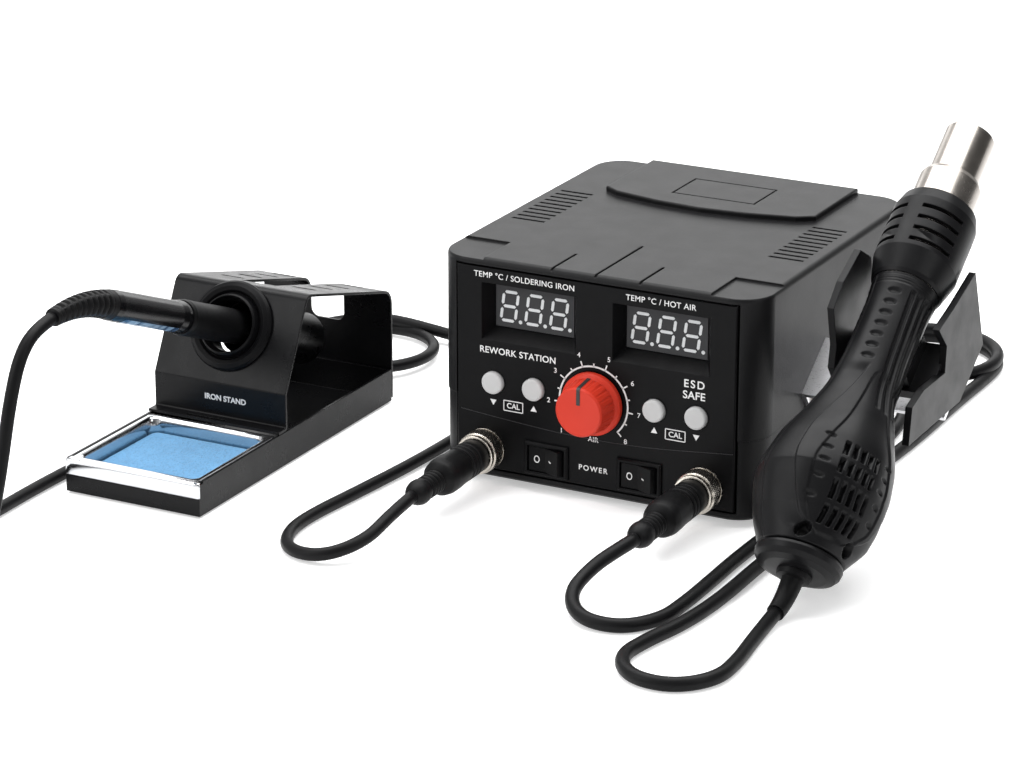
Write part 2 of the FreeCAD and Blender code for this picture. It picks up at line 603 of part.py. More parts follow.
def make_gun_rear():
    hub = cyl(gun_point(2), GUN_AXIS, 6.0, 10.0)
    fan = hub
    for i in range(9):
        blade = Part.makeBox(12.0, 9.0, 1.0, V(5.0, 0, -0.5))
        blade.rotate(V(0, 0, 0), V(0, 1, 0), 40.0 * i)
        blade.Placement = FreeCAD.Placement(gun_point(2.5), FreeCAD.Rotation(V(1, 0, 0), GUN_TILT)) \
            .multiply(blade.Placement)
        fan = fan.fuse(blade)
    fan = fan.cut(cyl(gun_point(0), GUN_AXIS, 1.05, 20))
    add("gun_fan", fan)
    motor = cyl(gun_point(-16), GUN_AXIS, 11.0, 16.0)
    motor = motor.fuse(cyl(gun_point(-1), GUN_AXIS, 1.0, 10.0))
    add("gun_motor", motor)
    cap = revolved(CAP_CENTRE, CAP_AXIS * -1.0,
                   [(0, 18.0), (1.2, 18.4), (3.5, 18.0), (5.5, 16.4), (6.6, 13.0), (7.0, 8.0)])
    cap = cap.cut(cyl(CAP_CENTRE + CAP_AXIS * 2, CAP_AXIS * -1.0, 4.2, 20))
    add("gun_end_cap", cap)
    root = revolved(CAP_CENTRE + CAP_AXIS * 1.4, CAP_AXIS * -1.0,
                    [(0, 5.6), (1.3, 5.6), (1.3, 4.1), (8.5, 4.1), (8.5, 7.4), (10.9, 7.0), (11.4, 4.6)])
    add("gun_boot", root.fuse(curved_boot(gun_boot_path(), 4.6, 3.7)))


def curved_boot(places, radius0, radius1):
    """Tapered sleeve along an arc, from the (place, direction, share) list of its sections."""
    wires = []
    for place, direction, share in places:
        ring = Part.Circle(place, direction, radius0 + (radius1 - radius0) * share)
        wires.append(Part.Wire([ring.toShape()]))
    return Part.makeLoft(wires, True, False)


def arc_path(start, lean0, lean1, length):
    """Places and directions along an arc in the YZ plane that heads towards -Y."""
    steps = 8
    radius = length / math.radians(lean0 - lean1)
    def away(lean):
        angle = math.radians(lean)
        return V(0, math.sin(angle), math.cos(angle))
    centre = start - away(lean0) * radius
    places = []
    for i in range(steps + 1):
        share = i / steps
        lean = lean0 + (lean1 - lean0) * share
        places.append((centre + away(lean) * radius, tilted(lean, -1.0), share))
    return places


def gun_boot_path():
    return arc_path(CAP_CENTRE - CAP_AXIS * 8.5, -CAP_TILT, -GUN_BOOT_END_LEAN, GUN_BOOT_LENGTH)


# ---- iron stand -----------------------------------------------------------------------
def make_stand():
    half = 0.5 * STAND_W
    base = box(STAND_X - half, STAND_X + half, STAND_FRONT, STAND_BACK, 1.0, STAND_RIM)
    base = base.cut(box(STAND_X - half + SHEET, STAND_X + half - SHEET, STAND_FRONT + SHEET,
                        STAND_BACK - SHEET, 1.0 + SHEET, STAND_RIM + 1))
    base = base.cut(box(STAND_X - half - 1, STAND_X + half + 1, STAND_FRONT - 1, STAND_FRONT + 0.8,
                        8.9, STAND_RIM + 1))
    base = base.cut(box(STAND_X - half + SHEET, STAND_X + half - SHEET, STAND_FRONT - 1,
                        STAND_FRONT + 3, 8.9,
                        STAND_RIM + 1))
    add("stand_base", base)
    housing = bent_sheet(HOUSING_PROFILE, HOUSING_RADII, SHEET, STAND_W, STAND_X)
    notch = box(STAND_X - 0.5 * NOTCH_W, STAND_X + 0.5 * NOTCH_W, NOTCH_FRONT, 90, NOTCH_BOTTOM, 90)
    notch = notch.makeFillet(4.0,
                             [e for e in notch.Edges if abs(e.BoundBox.YLength - (90 - NOTCH_FRONT)) < 0.1
                                   and e.BoundBox.ZMax < 60])
    housing = housing.cut(notch)
    for x in (-25.0, 12.5):
        for i in range(4):
            y = 19.0 + 14.5 * i
            housing = housing.cut(box(STAND_X + x, STAND_X + x + 12.0, y, y + 2.6, 45, 90))
    housing = housing.cut(box(STAND_X - 15, STAND_X + 5, -28.0, -26.6, 10, 20))
    face_normal = V(0, -math.cos(math.radians(FACE_LEAN)), math.sin(math.radians(FACE_LEAN)))
    centre = funnel_centre()
    housing = housing.cut(cyl(centre - face_normal * 12, face_normal, 15.0, 24))
    add("stand_housing", largest(housing))
    add("funnel_cup", make_funnel(centre, face_normal))
    direction = iron_axis() * -1.0
    rest = tube(IRON_POINT + direction * 16.0, direction, 12.0, 11.2, 54.0)
    rest = rest.fuse(tube(IRON_POINT + direction * 66.0, direction, 12.0, 4.4, 4.0))
    add("iron_rest_tube", rest)
    feet = []
    for sx in (-1, 1):
        for y in (STAND_FRONT + 10, STAND_BACK - 10):
            feet.append(cyl(V(STAND_X + sx * 25, y, 0), V(0, 0, 1), 5.0, 1.0))
    add("stand_feet", Part.makeCompound(feet))


def funnel_centre():
    """Where the iron's axis passes through the housing's leaning face."""
    lean = math.radians(FACE_LEAN)
    slope = math.tan(math.radians(IRON_TILT))
    y0, z0 = HOUSING_PROFILE[2]
    rise = IRON_POINT.z - z0 + (IRON_POINT.y - y0) * slope
    step = rise / (slope * math.sin(lean) + math.cos(lean))
    return V(STAND_X, y0 + step * math.sin(lean), z0 + step * math.cos(lean))


def make_funnel(centre, normal):
    disc = revolved(centre, normal, [(0.1, FUNNEL_R), (1.2, FUNNEL_R), (2.6, FUNNEL_R - 0.9),
                                     (3.6, FUNNEL_R - 2.8), (3.0, FUNNEL_R - 4.6), (1.6, FUNNEL_R - 5.6),
                                     (4.6, 13.8), (5.2, 13.0)])
    neck = revolved(centre - normal * 13.0, normal, [(0, 14.4), (13.2, 14.4)])
    cup = disc.fuse(neck)
    cup = cup.cut(cyl(centre - normal * 20, normal, 11.6, 40))
    cup = cup.cut(cyl(centre - normal * 14, normal, 13.4, 7.0))
    cup = cup.cut(Part.makeCone(11.6, 13.0, 4.0, centre + normal * 1.4, normal))
    return cup


def make_tray():
    """Pressed tray that drops into the front of the stand, and its sponge."""
    half = 0.5 * STAND_W
    inner_half = half - SHEET - 0.35
    front = STAND_FRONT + SHEET + 0.35
    floor = STAND_RIM - TRAY_DEPTH

    def block(inset, bottom, top, radius):
        return rounded_block(STAND_X - inner_half + inset, STAND_X + inner_half - inset, front + inset,
                             TRAY_BACK - inset, bottom, top, radius)

    rim = block(0.0, STAND_RIM - 0.9, STAND_RIM, 0.6)
    bowl = block(TRAY_RIM_W, floor, STAND_RIM, 6.0)
    bowl = bowl.makeFillet(2.4, edges_at(bowl, 2, floor))
    hollow = block(TRAY_RIM_W + 0.8, floor + 0.8, STAND_RIM, 5.2)
    hollow = hollow.makeFillet(1.6, edges_at(hollow, 2, floor + 0.8))
    apron_y = STAND_FRONT - 0.6
    apron = box(STAND_X - half, STAND_X + half, apron_y, apron_y + 0.9, 9.2, STAND_RIM)
    hook = box(STAND_X - inner_half, STAND_X + inner_half, apron_y, front + 1.0, STAND_RIM - 0.9,
               STAND_RIM)
    add("sponge_tray", rim.fuse(bowl).cut(hollow).fuse(apron).fuse(hook))
    add("sponge", block(TRAY_RIM_W + 2.4, floor + 0.8, floor + 4.8, 4.0))


# ---- soldering iron -------------------------------------------------------------------
def iron_axis():
    return tilted(IRON_TILT, -1.0)


def iron_point(along):
    return IRON_POINT + iron_axis() * along


def iron_boot_path():
    return arc_path(iron_point(BOOT_START), IRON_TILT, IRON_TILT - BOOT_TURN, BOOT_LENGTH)


def make_iron():
    axis = iron_axis()
    grip = revolved(iron_point(-20), axis, [(0, 6.6), (1.5, 7.4), (20, GRIP_R), (50, GRIP_R), (57, 8.1),
                                            (59, 7.6)])
    grip = grip.cut(cyl(iron_point(-21), axis, 5.0, 90))
    add("iron_grip", grip)
    handle = revolved(iron_point(-18), axis, [(0, 5.0), (57, 5.0), (57, 7.2), (60, 7.35), (64, HANDLE_R),
                                              (112, HANDLE_R), (116, 6.6)])
    handle = handle.cut(cyl(iron_point(-19), axis, 3.2, 30))
    add("iron_handle", handle)
    nut = revolved(iron_point(-20.3), axis * -1.0, [(0, 6.9), (5.5, 6.9), (6.5, 6.3), (9.0, 6.0)])
    nut = nut.cut(cyl(iron_point(-20), axis * -1.0, 3.35, 12))
    add("iron_nut", nut)
    barrel = cyl(iron_point(-8), axis * -1.0, 3.15, 50.0)
    add("iron_barrel", barrel)
    tip = revolved(iron_point(-58), axis * -1.0, [(0, 3.3), (5, 3.3), (8, 2.4), (10, 2.4), (20, 0.5)])
    add("iron_tip", tip)
    add("iron_boot", curved_boot(iron_boot_path(), 6.5, 3.9))


# ---- cords ----------------------------------------------------------------------------
def cord_edges(points):
    """Straight runs joined by the largest tangent arcs; gives the edges and the radii used."""
    corners = [V(*p) for p in points]
    edges = []
    radii = []
    last = corners[0]
    for i in range(1, len(corners) - 1):
        before = corners[i - 1] - corners[i]
        after = corners[i + 1] - corners[i]
        reach = 0.45 * min(before.Length, after.Length)
        before.normalize()
        after.normalize()
        half = 0.5 * before.getAngle(after)
        radius = reach * math.tan(half)
        radii.append(radius)
        start = corners[i] + before * reach
        end = corners[i] + after * reach
        bisector = (before + after).normalize()
        middle = corners[i] + bisector * (radius / math.sin(half) - radius)
        edges.append((last, start))
        edges.append((start, middle, end))
        last = end
    edges.append((last, corners[-1]))
    return edges, radii


def edge_shape(points):
    if len(points) == 2:
        return Part.LineSegment(*points).toShape()
    return Part.Arc(*points).toShape()


def tube_along(edges, diameter):
    path = Part.Wire([edge_shape(e) for e in edges])
    start, ahead = edges[0]
    section = Part.Wire([Part.Circle(start, ahead - start, 0.5 * diameter).toShape()])
    solid = path.makePipeShell([section], True, False)
    expected = math.pi * 0.25 * diameter ** 2 * path.Length
    print("   tube length %6.1f  volume ratio %.4f  valid %s"
          % (path.Length, solid.Volume / expected, solid.isValid()))
    return solid


def report_route(name, points, radii, diameter):
    runs = [(V(*points[i + 1]) - V(*points[i])).Length for i in range(len(points) - 1)]
    worst = max(max(runs[i] / runs[i + 1], runs[i + 1] / runs[i]) for i in range(len(runs) - 1))
    print("%s: runs %.0f to %.0f, worst step %.2f, radii in diameters %s"
          % (name, min(runs), max(runs), worst, " ".join("%.1f" % (r / diameter) for r in radii)))


def split_tubes(name, points, diameter, split_run):
    """Two tubes of one route, meeting face to face in the middle of one straight run."""
    edges, radii = cord_edges(points)
    report_route(name, points, radii, diameter)
    start, end = edges[2 * split_run]
    middle = (start + end) * 0.5
    first = tube_along(edges[:2 * split_run] + [(start, middle)], diameter)
    second = tube_along([(middle, end)] + edges[2 * split_run + 1:], diameter)
    return first, second


def whole_tube(name, points, diameter):
    edges, radii = cord_edges(points)
    report_route(name, points, radii, diameter)
    return tube_along(edges, diameter)


def coil_solid(centre, diameter):
    """Outer shape of a coil that lies flat, two cords high."""
    base = V(centre[0], centre[1], 0)
    half_width = 0.5 * diameter + 1.5
    return tube(base, V(0, 0, 1), COIL_R + half_width, COIL_R - half_width, 2.0 * diameter + 1.0)


# Routes, in the drawing frame. Each goes from the tool to the coil and from the coil to the plug.
IRON_COIL = (-183.0, 122.0)
GUN_COIL = (62.0, 234.0)
IRON_TO_COIL = (
    (-173.3, -148.0, 100.7), (-173.3, -160.5, 99.7), (-173.4, -172.5, 91.5), (-173.8, -180.5, 73.0),
    (-174.4, -187.0, 49.0), (-175.3, -194.5, 26.0), (-176.0, -203.5, 10.0), (-178.5, -217.0, 2.8),
    (-190.5, -228.5, 2.8), (-208.0, -227.5, 2.8), (-220.5, -214.0, 2.8), (-221.5, -190.0, 2.8),
    (-217.0, -150.0, 2.8), (-218.5, -98.0, 2.8), (-216.0, -46.0, 2.8), (-218.0, 10.0, 2.8),
    (-216.0, 66.0, 2.8), (-217.0, 122.0, 2.8))
IRON_FROM_COIL = (
    (-183.0, 156.0, 8.4), (-152.0, 156.5, 5.0), (-120.0, 153.0, 2.8), (-97.0, 134.0, 2.8),
    (-87.5, 100.0, 2.8), (-86.0, 52.0, 2.8), (-87.5, 4.0, 2.8), (-92.0, -40.0, 2.8), (-96.5, -76.0, 2.8),
    (-95.0, -97.0, 2.8), (-85.5, -113.5, 2.8), (-67.0, -116.5, 4.0), (-54.0, -102.5, 8.5),
    (-52.2, -82.5, 14.5), (-51.9, -66.5, 16.2))
IRON_SPLIT_RUN = 8
GUN_TO_COIL = (
    (122.5, -84.6, 4.5), (122.6, -95.5, 3.0), (124.5, -112.0, 3.0), (127.0, -130.0, 3.0),
    (127.3, -150.0, 3.0), (114.8, -164.5, 3.0), (96.2, -163.6, 3.0), (84.8, -148.5, 3.0),
    (87.5, -129.0, 3.0), (93.0, -109.0, 3.0), (96.0, -80.0, 3.0), (95.2, -34.0, 3.0), (97.0, 20.0, 3.0),
    (95.0, 78.0, 3.0), (97.0, 134.0, 3.0), (95.5, 186.0, 3.0), (96.0, 234.0, 3.0))
GUN_FROM_COIL = (
    (38.0, 210.0, 9.0), (60.0, 189.5, 5.5), (78.0, 169.0, 3.0), (86.0, 132.0, 3.0), (84.5, 78.0, 3.0),
    (86.0, 22.0, 3.0), (84.0, -32.0, 3.0), (84.8, -66.0, 3.0), (85.0, -90.0, 3.0), (83.6, -108.5, 3.0),
    (72.6, -123.5, 3.0), (54.4, -123.2, 3.6), (43.2, -108.8, 6.5), (44.6, -91.5, 11.5),
    (49.2, -78.0, 15.0),
    (51.9, -66.5, 16.2))
GUN_SPLIT_RUN = 5


def make_cords():
    first, second = split_tubes("iron_to_coil", IRON_TO_COIL, IRON_CORD_D, IRON_SPLIT_RUN)
    back = whole_tube("iron_from_coil", IRON_FROM_COIL, IRON_CORD_D)
    add("iron_cord_end", first, cord=True)
    add("iron_cord", Part.makeCompound([second, back]), cord=True)
    add("iron_cord_coil", coil_solid(IRON_COIL, IRON_CORD_D), cord=True)
    first, second = split_tubes("gun_to_coil", GUN_TO_COIL, GUN_CORD_D, GUN_SPLIT_RUN)
    back = whole_tube("gun_from_coil", GUN_FROM_COIL, GUN_CORD_D)
    add("gun_cord_end", first, cord=True)
    add("gun_cord", Part.makeCompound([second, back]), cord=True)
    add("gun_cord_coil", coil_solid(GUN_COIL, GUN_CORD_D), cord=True)
    for path in (iron_boot_path(), gun_boot_path()):
        print("   boot ends at", tuple(round(v, 2) for v in path[-1][0]))


def build():
    make_lower_housing()
    make_top_cover()
    make_fascia()
    make_rear()
    make_electronics()
    make_switches()
    make_buttons()
    make_knob()
    make_connectors()
    make_feet_and_screws()
    make_cradle()
    make_gun_shells()
    make_gun_front()
    make_gun_rear()
    make_stand()
    make_tray()
    make_iron()
    make_cords()


def whole_box():
    """Exact bounds of everything except the cords."""
    low = [1e9, 1e9, 1e9]
    high = [-1e9, -1e9, -1e9]
    for name, shape in NODES.items():
        if name in CORD_NODES:
            continue
        bounds = shape.optimalBoundingBox(False, False)
        for i, (a, b) in enumerate(((bounds.XMin, bounds.XMax), (bounds.YMin, bounds.YMax),
                                    (bounds.ZMin, bounds.ZMax))):
            low[i] = min(low[i], a)
            high[i] = max(high[i], b)
    return low, high


build()
LOW, HIGH = whole_box()
SHIFT = V(-0.5 * (LOW[0] + HIGH[0]), -0.5 * (LOW[1] + HIGH[1]), -LOW[2])
os.makedirs("parts", exist_ok=True)
for node_name, node_shape in NODES.items():
    placed = node_shape.copy()
    placed.translate(SHIFT)
    placed.exportStep("parts/" + node_name + ".step")
print(len(NODES), "nodes, shift", tuple(round(v, 3) for v in SHIFT))
print("box", [round(v, 2) for v in LOW], [round(v, 2) for v in HIGH])
for node_name, node_shape in NODES.items():
    if not node_shape.isValid():
        print("INVALID", node_name)
    if not node_shape.Solids:
        print("NO SOLID", node_name)
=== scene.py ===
"""Looks of the soldering and hot-air station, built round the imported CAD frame.

Places are given in the station's own drawing frame, in millimetres: X = 0 is the middle of
the front panel, Y = 0 its face and Z = 0 the table. at() turns them into the row frame.
"""
import json
import math

import bmesh
import bpy
import numpy as np
from mathutils import Matrix, Vector


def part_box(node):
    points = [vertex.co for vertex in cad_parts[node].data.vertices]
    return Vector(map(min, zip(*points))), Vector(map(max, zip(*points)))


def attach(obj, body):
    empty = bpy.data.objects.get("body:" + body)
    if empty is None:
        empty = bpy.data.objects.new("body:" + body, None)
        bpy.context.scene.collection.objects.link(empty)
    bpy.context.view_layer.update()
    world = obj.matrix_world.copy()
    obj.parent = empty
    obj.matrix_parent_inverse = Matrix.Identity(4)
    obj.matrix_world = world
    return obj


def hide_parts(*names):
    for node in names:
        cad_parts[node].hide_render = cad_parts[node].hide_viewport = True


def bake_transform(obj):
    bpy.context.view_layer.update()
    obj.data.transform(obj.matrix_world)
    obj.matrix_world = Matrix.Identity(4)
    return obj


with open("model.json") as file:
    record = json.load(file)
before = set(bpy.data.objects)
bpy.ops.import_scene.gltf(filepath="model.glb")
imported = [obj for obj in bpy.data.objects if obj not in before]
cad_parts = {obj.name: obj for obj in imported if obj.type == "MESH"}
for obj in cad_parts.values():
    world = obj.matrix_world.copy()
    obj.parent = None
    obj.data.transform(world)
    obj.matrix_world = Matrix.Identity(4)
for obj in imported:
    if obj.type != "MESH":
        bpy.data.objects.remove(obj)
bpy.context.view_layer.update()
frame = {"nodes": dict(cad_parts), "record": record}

MM = 0.001
COVER_LOW, COVER_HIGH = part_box("top_cover")
ORIGIN = Vector((0.5 * (COVER_LOW.x + COVER_HIGH.x), COVER_LOW.y, 0.0))
NODES = frame["nodes"]


def at(x, y, z):
    """A point of the drawing frame, in millimetres, as a point of the row frame."""
    return ORIGIN + Vector((x, y, z)) * MM


# ---- materials ------------------------------------------------------------------------
def new_material(name):
    material = bpy.data.materials.new(name)
    material.use_nodes = True
    tree = material.node_tree
    tree.nodes.clear()
    output = tree.nodes.new("ShaderNodeOutputMaterial")
    shader = tree.nodes.new("ShaderNodeBsdfPrincipled")
    tree.links.new(shader.outputs["BSDF"], output.inputs["Surface"])
    return material, tree, shader


def object_coords(tree, scale=(1.0, 1.0, 1.0)):
    coords = tree.nodes.new("ShaderNodeTexCoord")
    mapping = tree.nodes.new("ShaderNodeMapping")
    mapping.inputs["Scale"].default_value = scale
    tree.links.new(coords.outputs["Object"], mapping.inputs["Vector"])
    return mapping.outputs["Vector"]


def noise(tree, vector, scale, detail=3.0, roughness=0.55):
    node = tree.nodes.new("ShaderNodeTexNoise")
    node.inputs["Scale"].default_value = scale
    node.inputs["Detail"].default_value = detail
    node.inputs["Roughness"].default_value = roughness
    tree.links.new(vector, node.inputs["Vector"])
    return node.outputs["Fac"]


def map_range(tree, value, from_min, from_max, to_min, to_max):
    node = tree.nodes.new("ShaderNodeMapRange")
    limits = (("From Min", from_min), ("From Max", from_max), ("To Min", to_min), ("To Max", to_max))
    for key, number in limits:
        node.inputs[key].default_value = number
    tree.links.new(value, node.inputs["Value"])
    return node.outputs["Result"]


def spread(tree, value, low=0.0, high=1.0):
    """The usual swing of a noise, stretched to run from low to high."""
    return map_range(tree, value, 0.3, 0.7, low, high)


def multiply(tree, first, second):
    node = tree.nodes.new("ShaderNodeMath")
    node.operation = "MULTIPLY"
    tree.links.new(first, node.inputs[0])
    tree.links.new(second, node.inputs[1])
    return node.outputs[0]


def mix_colours(tree, factor, first, second):
    node = tree.nodes.new("ShaderNodeMix")
    node.data_type = "RGBA"
    node.inputs["A"].default_value = (*first, 1.0)
    node.inputs["B"].default_value = (*second, 1.0)
    tree.links.new(factor, node.inputs["Factor"])
    return node.outputs["Result"]


def rounded_normal(tree, radius):
    node = tree.nodes.new("ShaderNodeBevel")
    node.samples = 4
    node.inputs["Radius"].default_value = radius
    return node.outputs["Normal"]


def bump(tree, height, distance, normal=None):
    node = tree.nodes.new("ShaderNodeBump")
    node.inputs["Strength"].default_value = 1.0
    node.inputs["Distance"].default_value = distance
    tree.links.new(height, node.inputs["Height"])
    if normal is not None:
        tree.links.new(normal, node.inputs["Normal"])
    return node.outputs["Normal"]


def scaled(colour, factor):
    return tuple(min(1.0, c * factor) for c in colour)


PLASTIC_CLOUDS = 28.0
PLASTIC_SMEARS = 90.0
METAL_CLOUDS = 35.0


def plastic(name, colour, rough, grain=1800.0, height=0.00003, edge=0.0004, variation=0.25,
            coat=0.0, coat_rough=0.2, specular=0.5, smears=0.07):
    """Moulded plastic: fine grain, cloudy gloss, slightly rubbed edges."""
    material, tree, shader = new_material(name)
    vector = object_coords(tree)
    fine = noise(tree, vector, grain, 4.0)
    tone = spread(tree, noise(tree, vector, PLASTIC_CLOUDS, 3.0))
    base = mix_colours(tree, tone, scaled(colour, 1.0 - 0.5 * variation),
                       scaled(colour, 1.0 + 0.5 * variation))
    tree.links.new(base, shader.inputs["Base Color"])
    smear = noise(tree, vector, PLASTIC_SMEARS, 5.0)
    tree.links.new(map_range(tree, smear, 0.25, 0.75, rough - smears, rough + smears),
                   shader.inputs["Roughness"])
    normal = rounded_normal(tree, edge)
    tree.links.new(bump(tree, fine, height, normal), shader.inputs["Normal"])
    shader.inputs["Specular IOR Level"].default_value = specular
    shader.inputs["Coat Weight"].default_value = coat
    shader.inputs["Coat Roughness"].default_value = coat_rough
    return material


def metal(name, colour, rough, stretch=(1.0, 1.0, 1.0), scale=400.0, height=0.00001, edge=0.0003,
          variation=0.12):
    """Plated, drawn or brushed metal; stretch sets the direction of its fine lines."""
    material, tree, shader = new_material(name)
    lines = noise(tree, object_coords(tree, stretch), scale, 5.0, 0.7)
    tone = spread(tree, noise(tree, object_coords(tree), METAL_CLOUDS, 4.0))
    base = mix_colours(tree, tone, scaled(colour, 1.0 - variation), colour)
    tree.links.new(base, shader.inputs["Base Color"])
    shader.inputs["Metallic"].default_value = 1.0
    tree.links.new(map_range(tree, lines, 0.2, 0.8, max(0.02, rough - 0.08), rough + 0.1),
                   shader.inputs["Roughness"])
    normal = rounded_normal(tree, edge)
    tree.links.new(bump(tree, lines, height, normal), shader.inputs["Normal"])
    return material


def sponge_material(name, colour):
    """Cellulose with open pores, darker inside them as painted shade; grain and clouds vary its tone at
    random.
    """
    material, tree, shader = new_material(name)
    vector = object_coords(tree)
    pores = tree.nodes.new("ShaderNodeTexVoronoi")
    pores.inputs["Scale"].default_value = 900.0
    tree.links.new(vector, pores.inputs["Vector"])
    pits = map_range(tree, pores.outputs["Distance"], 0.0, 0.45, 0.0, 1.0)
    grain = noise(tree, vector, 2500.0, 5.0)
    cloud = noise(tree, vector, 120.0, 4.0)
    # Painted shade: the pore map darkens the colour inside the pores, where shade falls; the same map also
    # gives their bump.
    pores_and_grain = multiply(tree, pits, spread(tree, grain, 0.55, 1.0))
    tone = multiply(tree, pores_and_grain, spread(tree, cloud, 0.75, 1.0))
    base = mix_colours(tree, tone, scaled(colour, 0.45), colour)
    tree.links.new(base, shader.inputs["Base Color"])
    shader.inputs["Roughness"].default_value = 0.95
    shader.inputs["Specular IOR Level"].default_value = 0.15
    shader.inputs["Sheen Weight"].default_value = 0.2
    tree.links.new(bump(tree, pores_and_grain, 0.0003), shader.inputs["Normal"])
    return material


def flat_print(name, colour, rough=0.45):
    """Printed ink with a trace of unevenness."""
    material, tree, shader = new_material(name)
    speck = noise(tree, object_coords(tree), 1500.0, 3.0)
    base = mix_colours(tree, spread(tree, speck), scaled(colour, 0.88), colour)
    tree.links.new(base, shader.inputs["Base Color"])
    tree.links.new(spread(tree, speck, rough - 0.05, rough + 0.05), shader.inputs["Roughness"])
    return material


def board_material(name):
    """Green circuit board with paler traces."""
    material, tree, shader = new_material(name)
    vector = object_coords(tree)
    traces = tree.nodes.new("ShaderNodeTexBrick")
    traces.inputs["Scale"].default_value = 160.0
    traces.inputs["Color1"].default_value = (0.02, 0.16, 0.07, 1.0)
    traces.inputs["Color2"].default_value = (0.03, 0.22, 0.10, 1.0)
    traces.inputs["Mortar"].default_value = (0.05, 0.30, 0.14, 1.0)
    tree.links.new(vector, traces.inputs["Vector"])
    tree.links.new(traces.outputs["Color"], shader.inputs["Base Color"])
    speck = noise(tree, vector, 300.0)
    tree.links.new(spread(tree, speck, 0.3, 0.5), shader.inputs["Roughness"])
    return material


MATERIALS = {
    "housing_plastic": plastic("housing_plastic", (0.0060, 0.0060, 0.0065), 0.40, grain=1500.0,
                               height=0.00005, edge=0.0008, specular=0.13, smears=0.02),
    "panel_plastic": plastic("panel_plastic", (0.0030, 0.0030, 0.0034), 0.38, grain=2600.0,
                             height=0.00002, specular=0.08),
    "gun_plastic": plastic("gun_plastic", (0.0045, 0.0045, 0.0050), 0.36, grain=2400.0, height=0.00002,
                           edge=0.0005, specular=0.12),
    "steel_black": plastic("steel_black", (0.0035, 0.0035, 0.0040), 0.30, grain=1200.0, height=0.00004,
                           edge=0.0004, specular=0.13),
    "display_face": plastic("display_face", (0.035, 0.035, 0.037), 0.35, edge=0.0002, specular=0.1),
    "circuit_board": board_material("circuit_board"),
    "transformer_steel": metal("transformer_steel", (0.30, 0.28, 0.25), 0.45, (1.0, 1.0, 30.0)),
    "aluminium": metal("aluminium", (0.80, 0.80, 0.82), 0.30, (1.0, 1.0, 20.0)),
    "nickel": metal("nickel", (0.60, 0.56, 0.50), 0.24, scale=700.0),
    "stainless": metal("stainless", (0.40, 0.37, 0.34), 0.22, scale=60.0, height=0.000004),
    "chrome": metal("chrome", (0.60, 0.61, 0.63), 0.10, scale=200.0, height=0.000006, edge=0.0006,
                    variation=0.05),
    "knob_red": plastic("knob_red", (0.52, 0.030, 0.013), 0.42, grain=1600.0, edge=0.0004, variation=0.12,
                        specular=0.22),
    "button_grey": plastic("button_grey", (0.46, 0.46, 0.46), 0.40, edge=0.0005, variation=0.06,
                           specular=0.25),
    "rubber_black": plastic("rubber_black", (0.0038, 0.0038, 0.0042), 0.46, grain=2200.0, height=0.00004,
                            specular=0.12),
    "cord_rubber": plastic("cord_rubber", (0.0038, 0.0038, 0.0042), 0.45, grain=2600.0, height=0.00002,
                           edge=0.0002, specular=0.12),
    "handle_gloss": plastic("handle_gloss", (0.003, 0.003, 0.0035), 0.20, grain=600.0, height=0.00001,
                            coat=0.15, coat_rough=0.08, specular=0.15),
    "sponge_blue": sponge_material("sponge_blue", (0.14, 0.365, 0.63)),
    # Lighter grey for the panel seam: a painted highlight along the moulded line, not a colour of its own.
    "panel_edge": plastic("panel_edge", (0.022, 0.022, 0.024), 0.4, specular=0.2),
    "ceramic": plastic("ceramic", (0.62, 0.58, 0.48), 0.7),
    "tip_plated": metal("tip_plated", (0.45, 0.43, 0.41), 0.3, scale=500.0),
}
PRINT_WHITE = flat_print("print_white", (0.72, 0.72, 0.72))
SEGMENT_GREY = flat_print("segment_grey", (0.58, 0.59, 0.60), 0.4)
POINTER_BLACK = flat_print("pointer_black", (0.010, 0.010, 0.010), 0.5)


def sticker_material():
    """Glossy label in soft bands of blue and pale grey, without lettering."""
    material, tree, shader = new_material("pale_label")
    bands = noise(tree, object_coords(tree, (1.0, 60.0, 60.0)), 3.0, 2.0)
    tone = map_range(tree, bands, 0.42, 0.58, 0.0, 1.0)
    base = mix_colours(tree, tone, (0.010, 0.035, 0.085), (0.16, 0.24, 0.33))
    tree.links.new(base, shader.inputs["Base Color"])
    smear = noise(tree, object_coords(tree), 200.0)
    tree.links.new(spread(tree, smear, 0.15, 0.3), shader.inputs["Roughness"])
    return material


STICKER = sticker_material()


def slot_of(node):
    for entry in frame["record"]["subparts"]:
        if entry["node"] == node:
            return entry["material_slot"]
    return None


def dress_cad_nodes():
    for name, node in NODES.items():
        material = MATERIALS[slot_of(name)]
        node.data.materials.clear()
        node.data.materials.append(material)


# ---- mesh helpers ---------------------------------------------------------------------
def mesh_object(name, vertices, faces, material, smooth=True):
    mesh = bpy.data.meshes.new(name)
    mesh.from_pydata([tuple(v) for v in vertices], [], faces)
    mesh.update()
    piece = bpy.data.objects.new(name, mesh)
    bpy.context.scene.collection.objects.link(piece)
    piece.data.materials.append(material)
    for polygon in mesh.polygons:
        polygon.use_smooth = smooth
    return piece


def finish_piece(piece, body, slot_name, *replaced):
    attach(piece, body)
    if replaced:
        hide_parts(*replaced)


def grid_faces(rows, columns, wrap=True):
    faces = []
    for i in range(rows - 1):
        for j in range(columns if wrap else columns - 1):
            k = (j + 1) % columns
            faces.append((i * columns + j, i * columns + k, (i + 1) * columns + k, (i + 1) * columns + j))
    return faces


def cap_faces(rows, columns):
    """The two many-sided faces that close a wrapped grid at its first and last row."""
    last = (rows - 1) * columns
    return [tuple(reversed(range(columns))), tuple(range(last, last + columns))]


TURNED_SIDES = 96


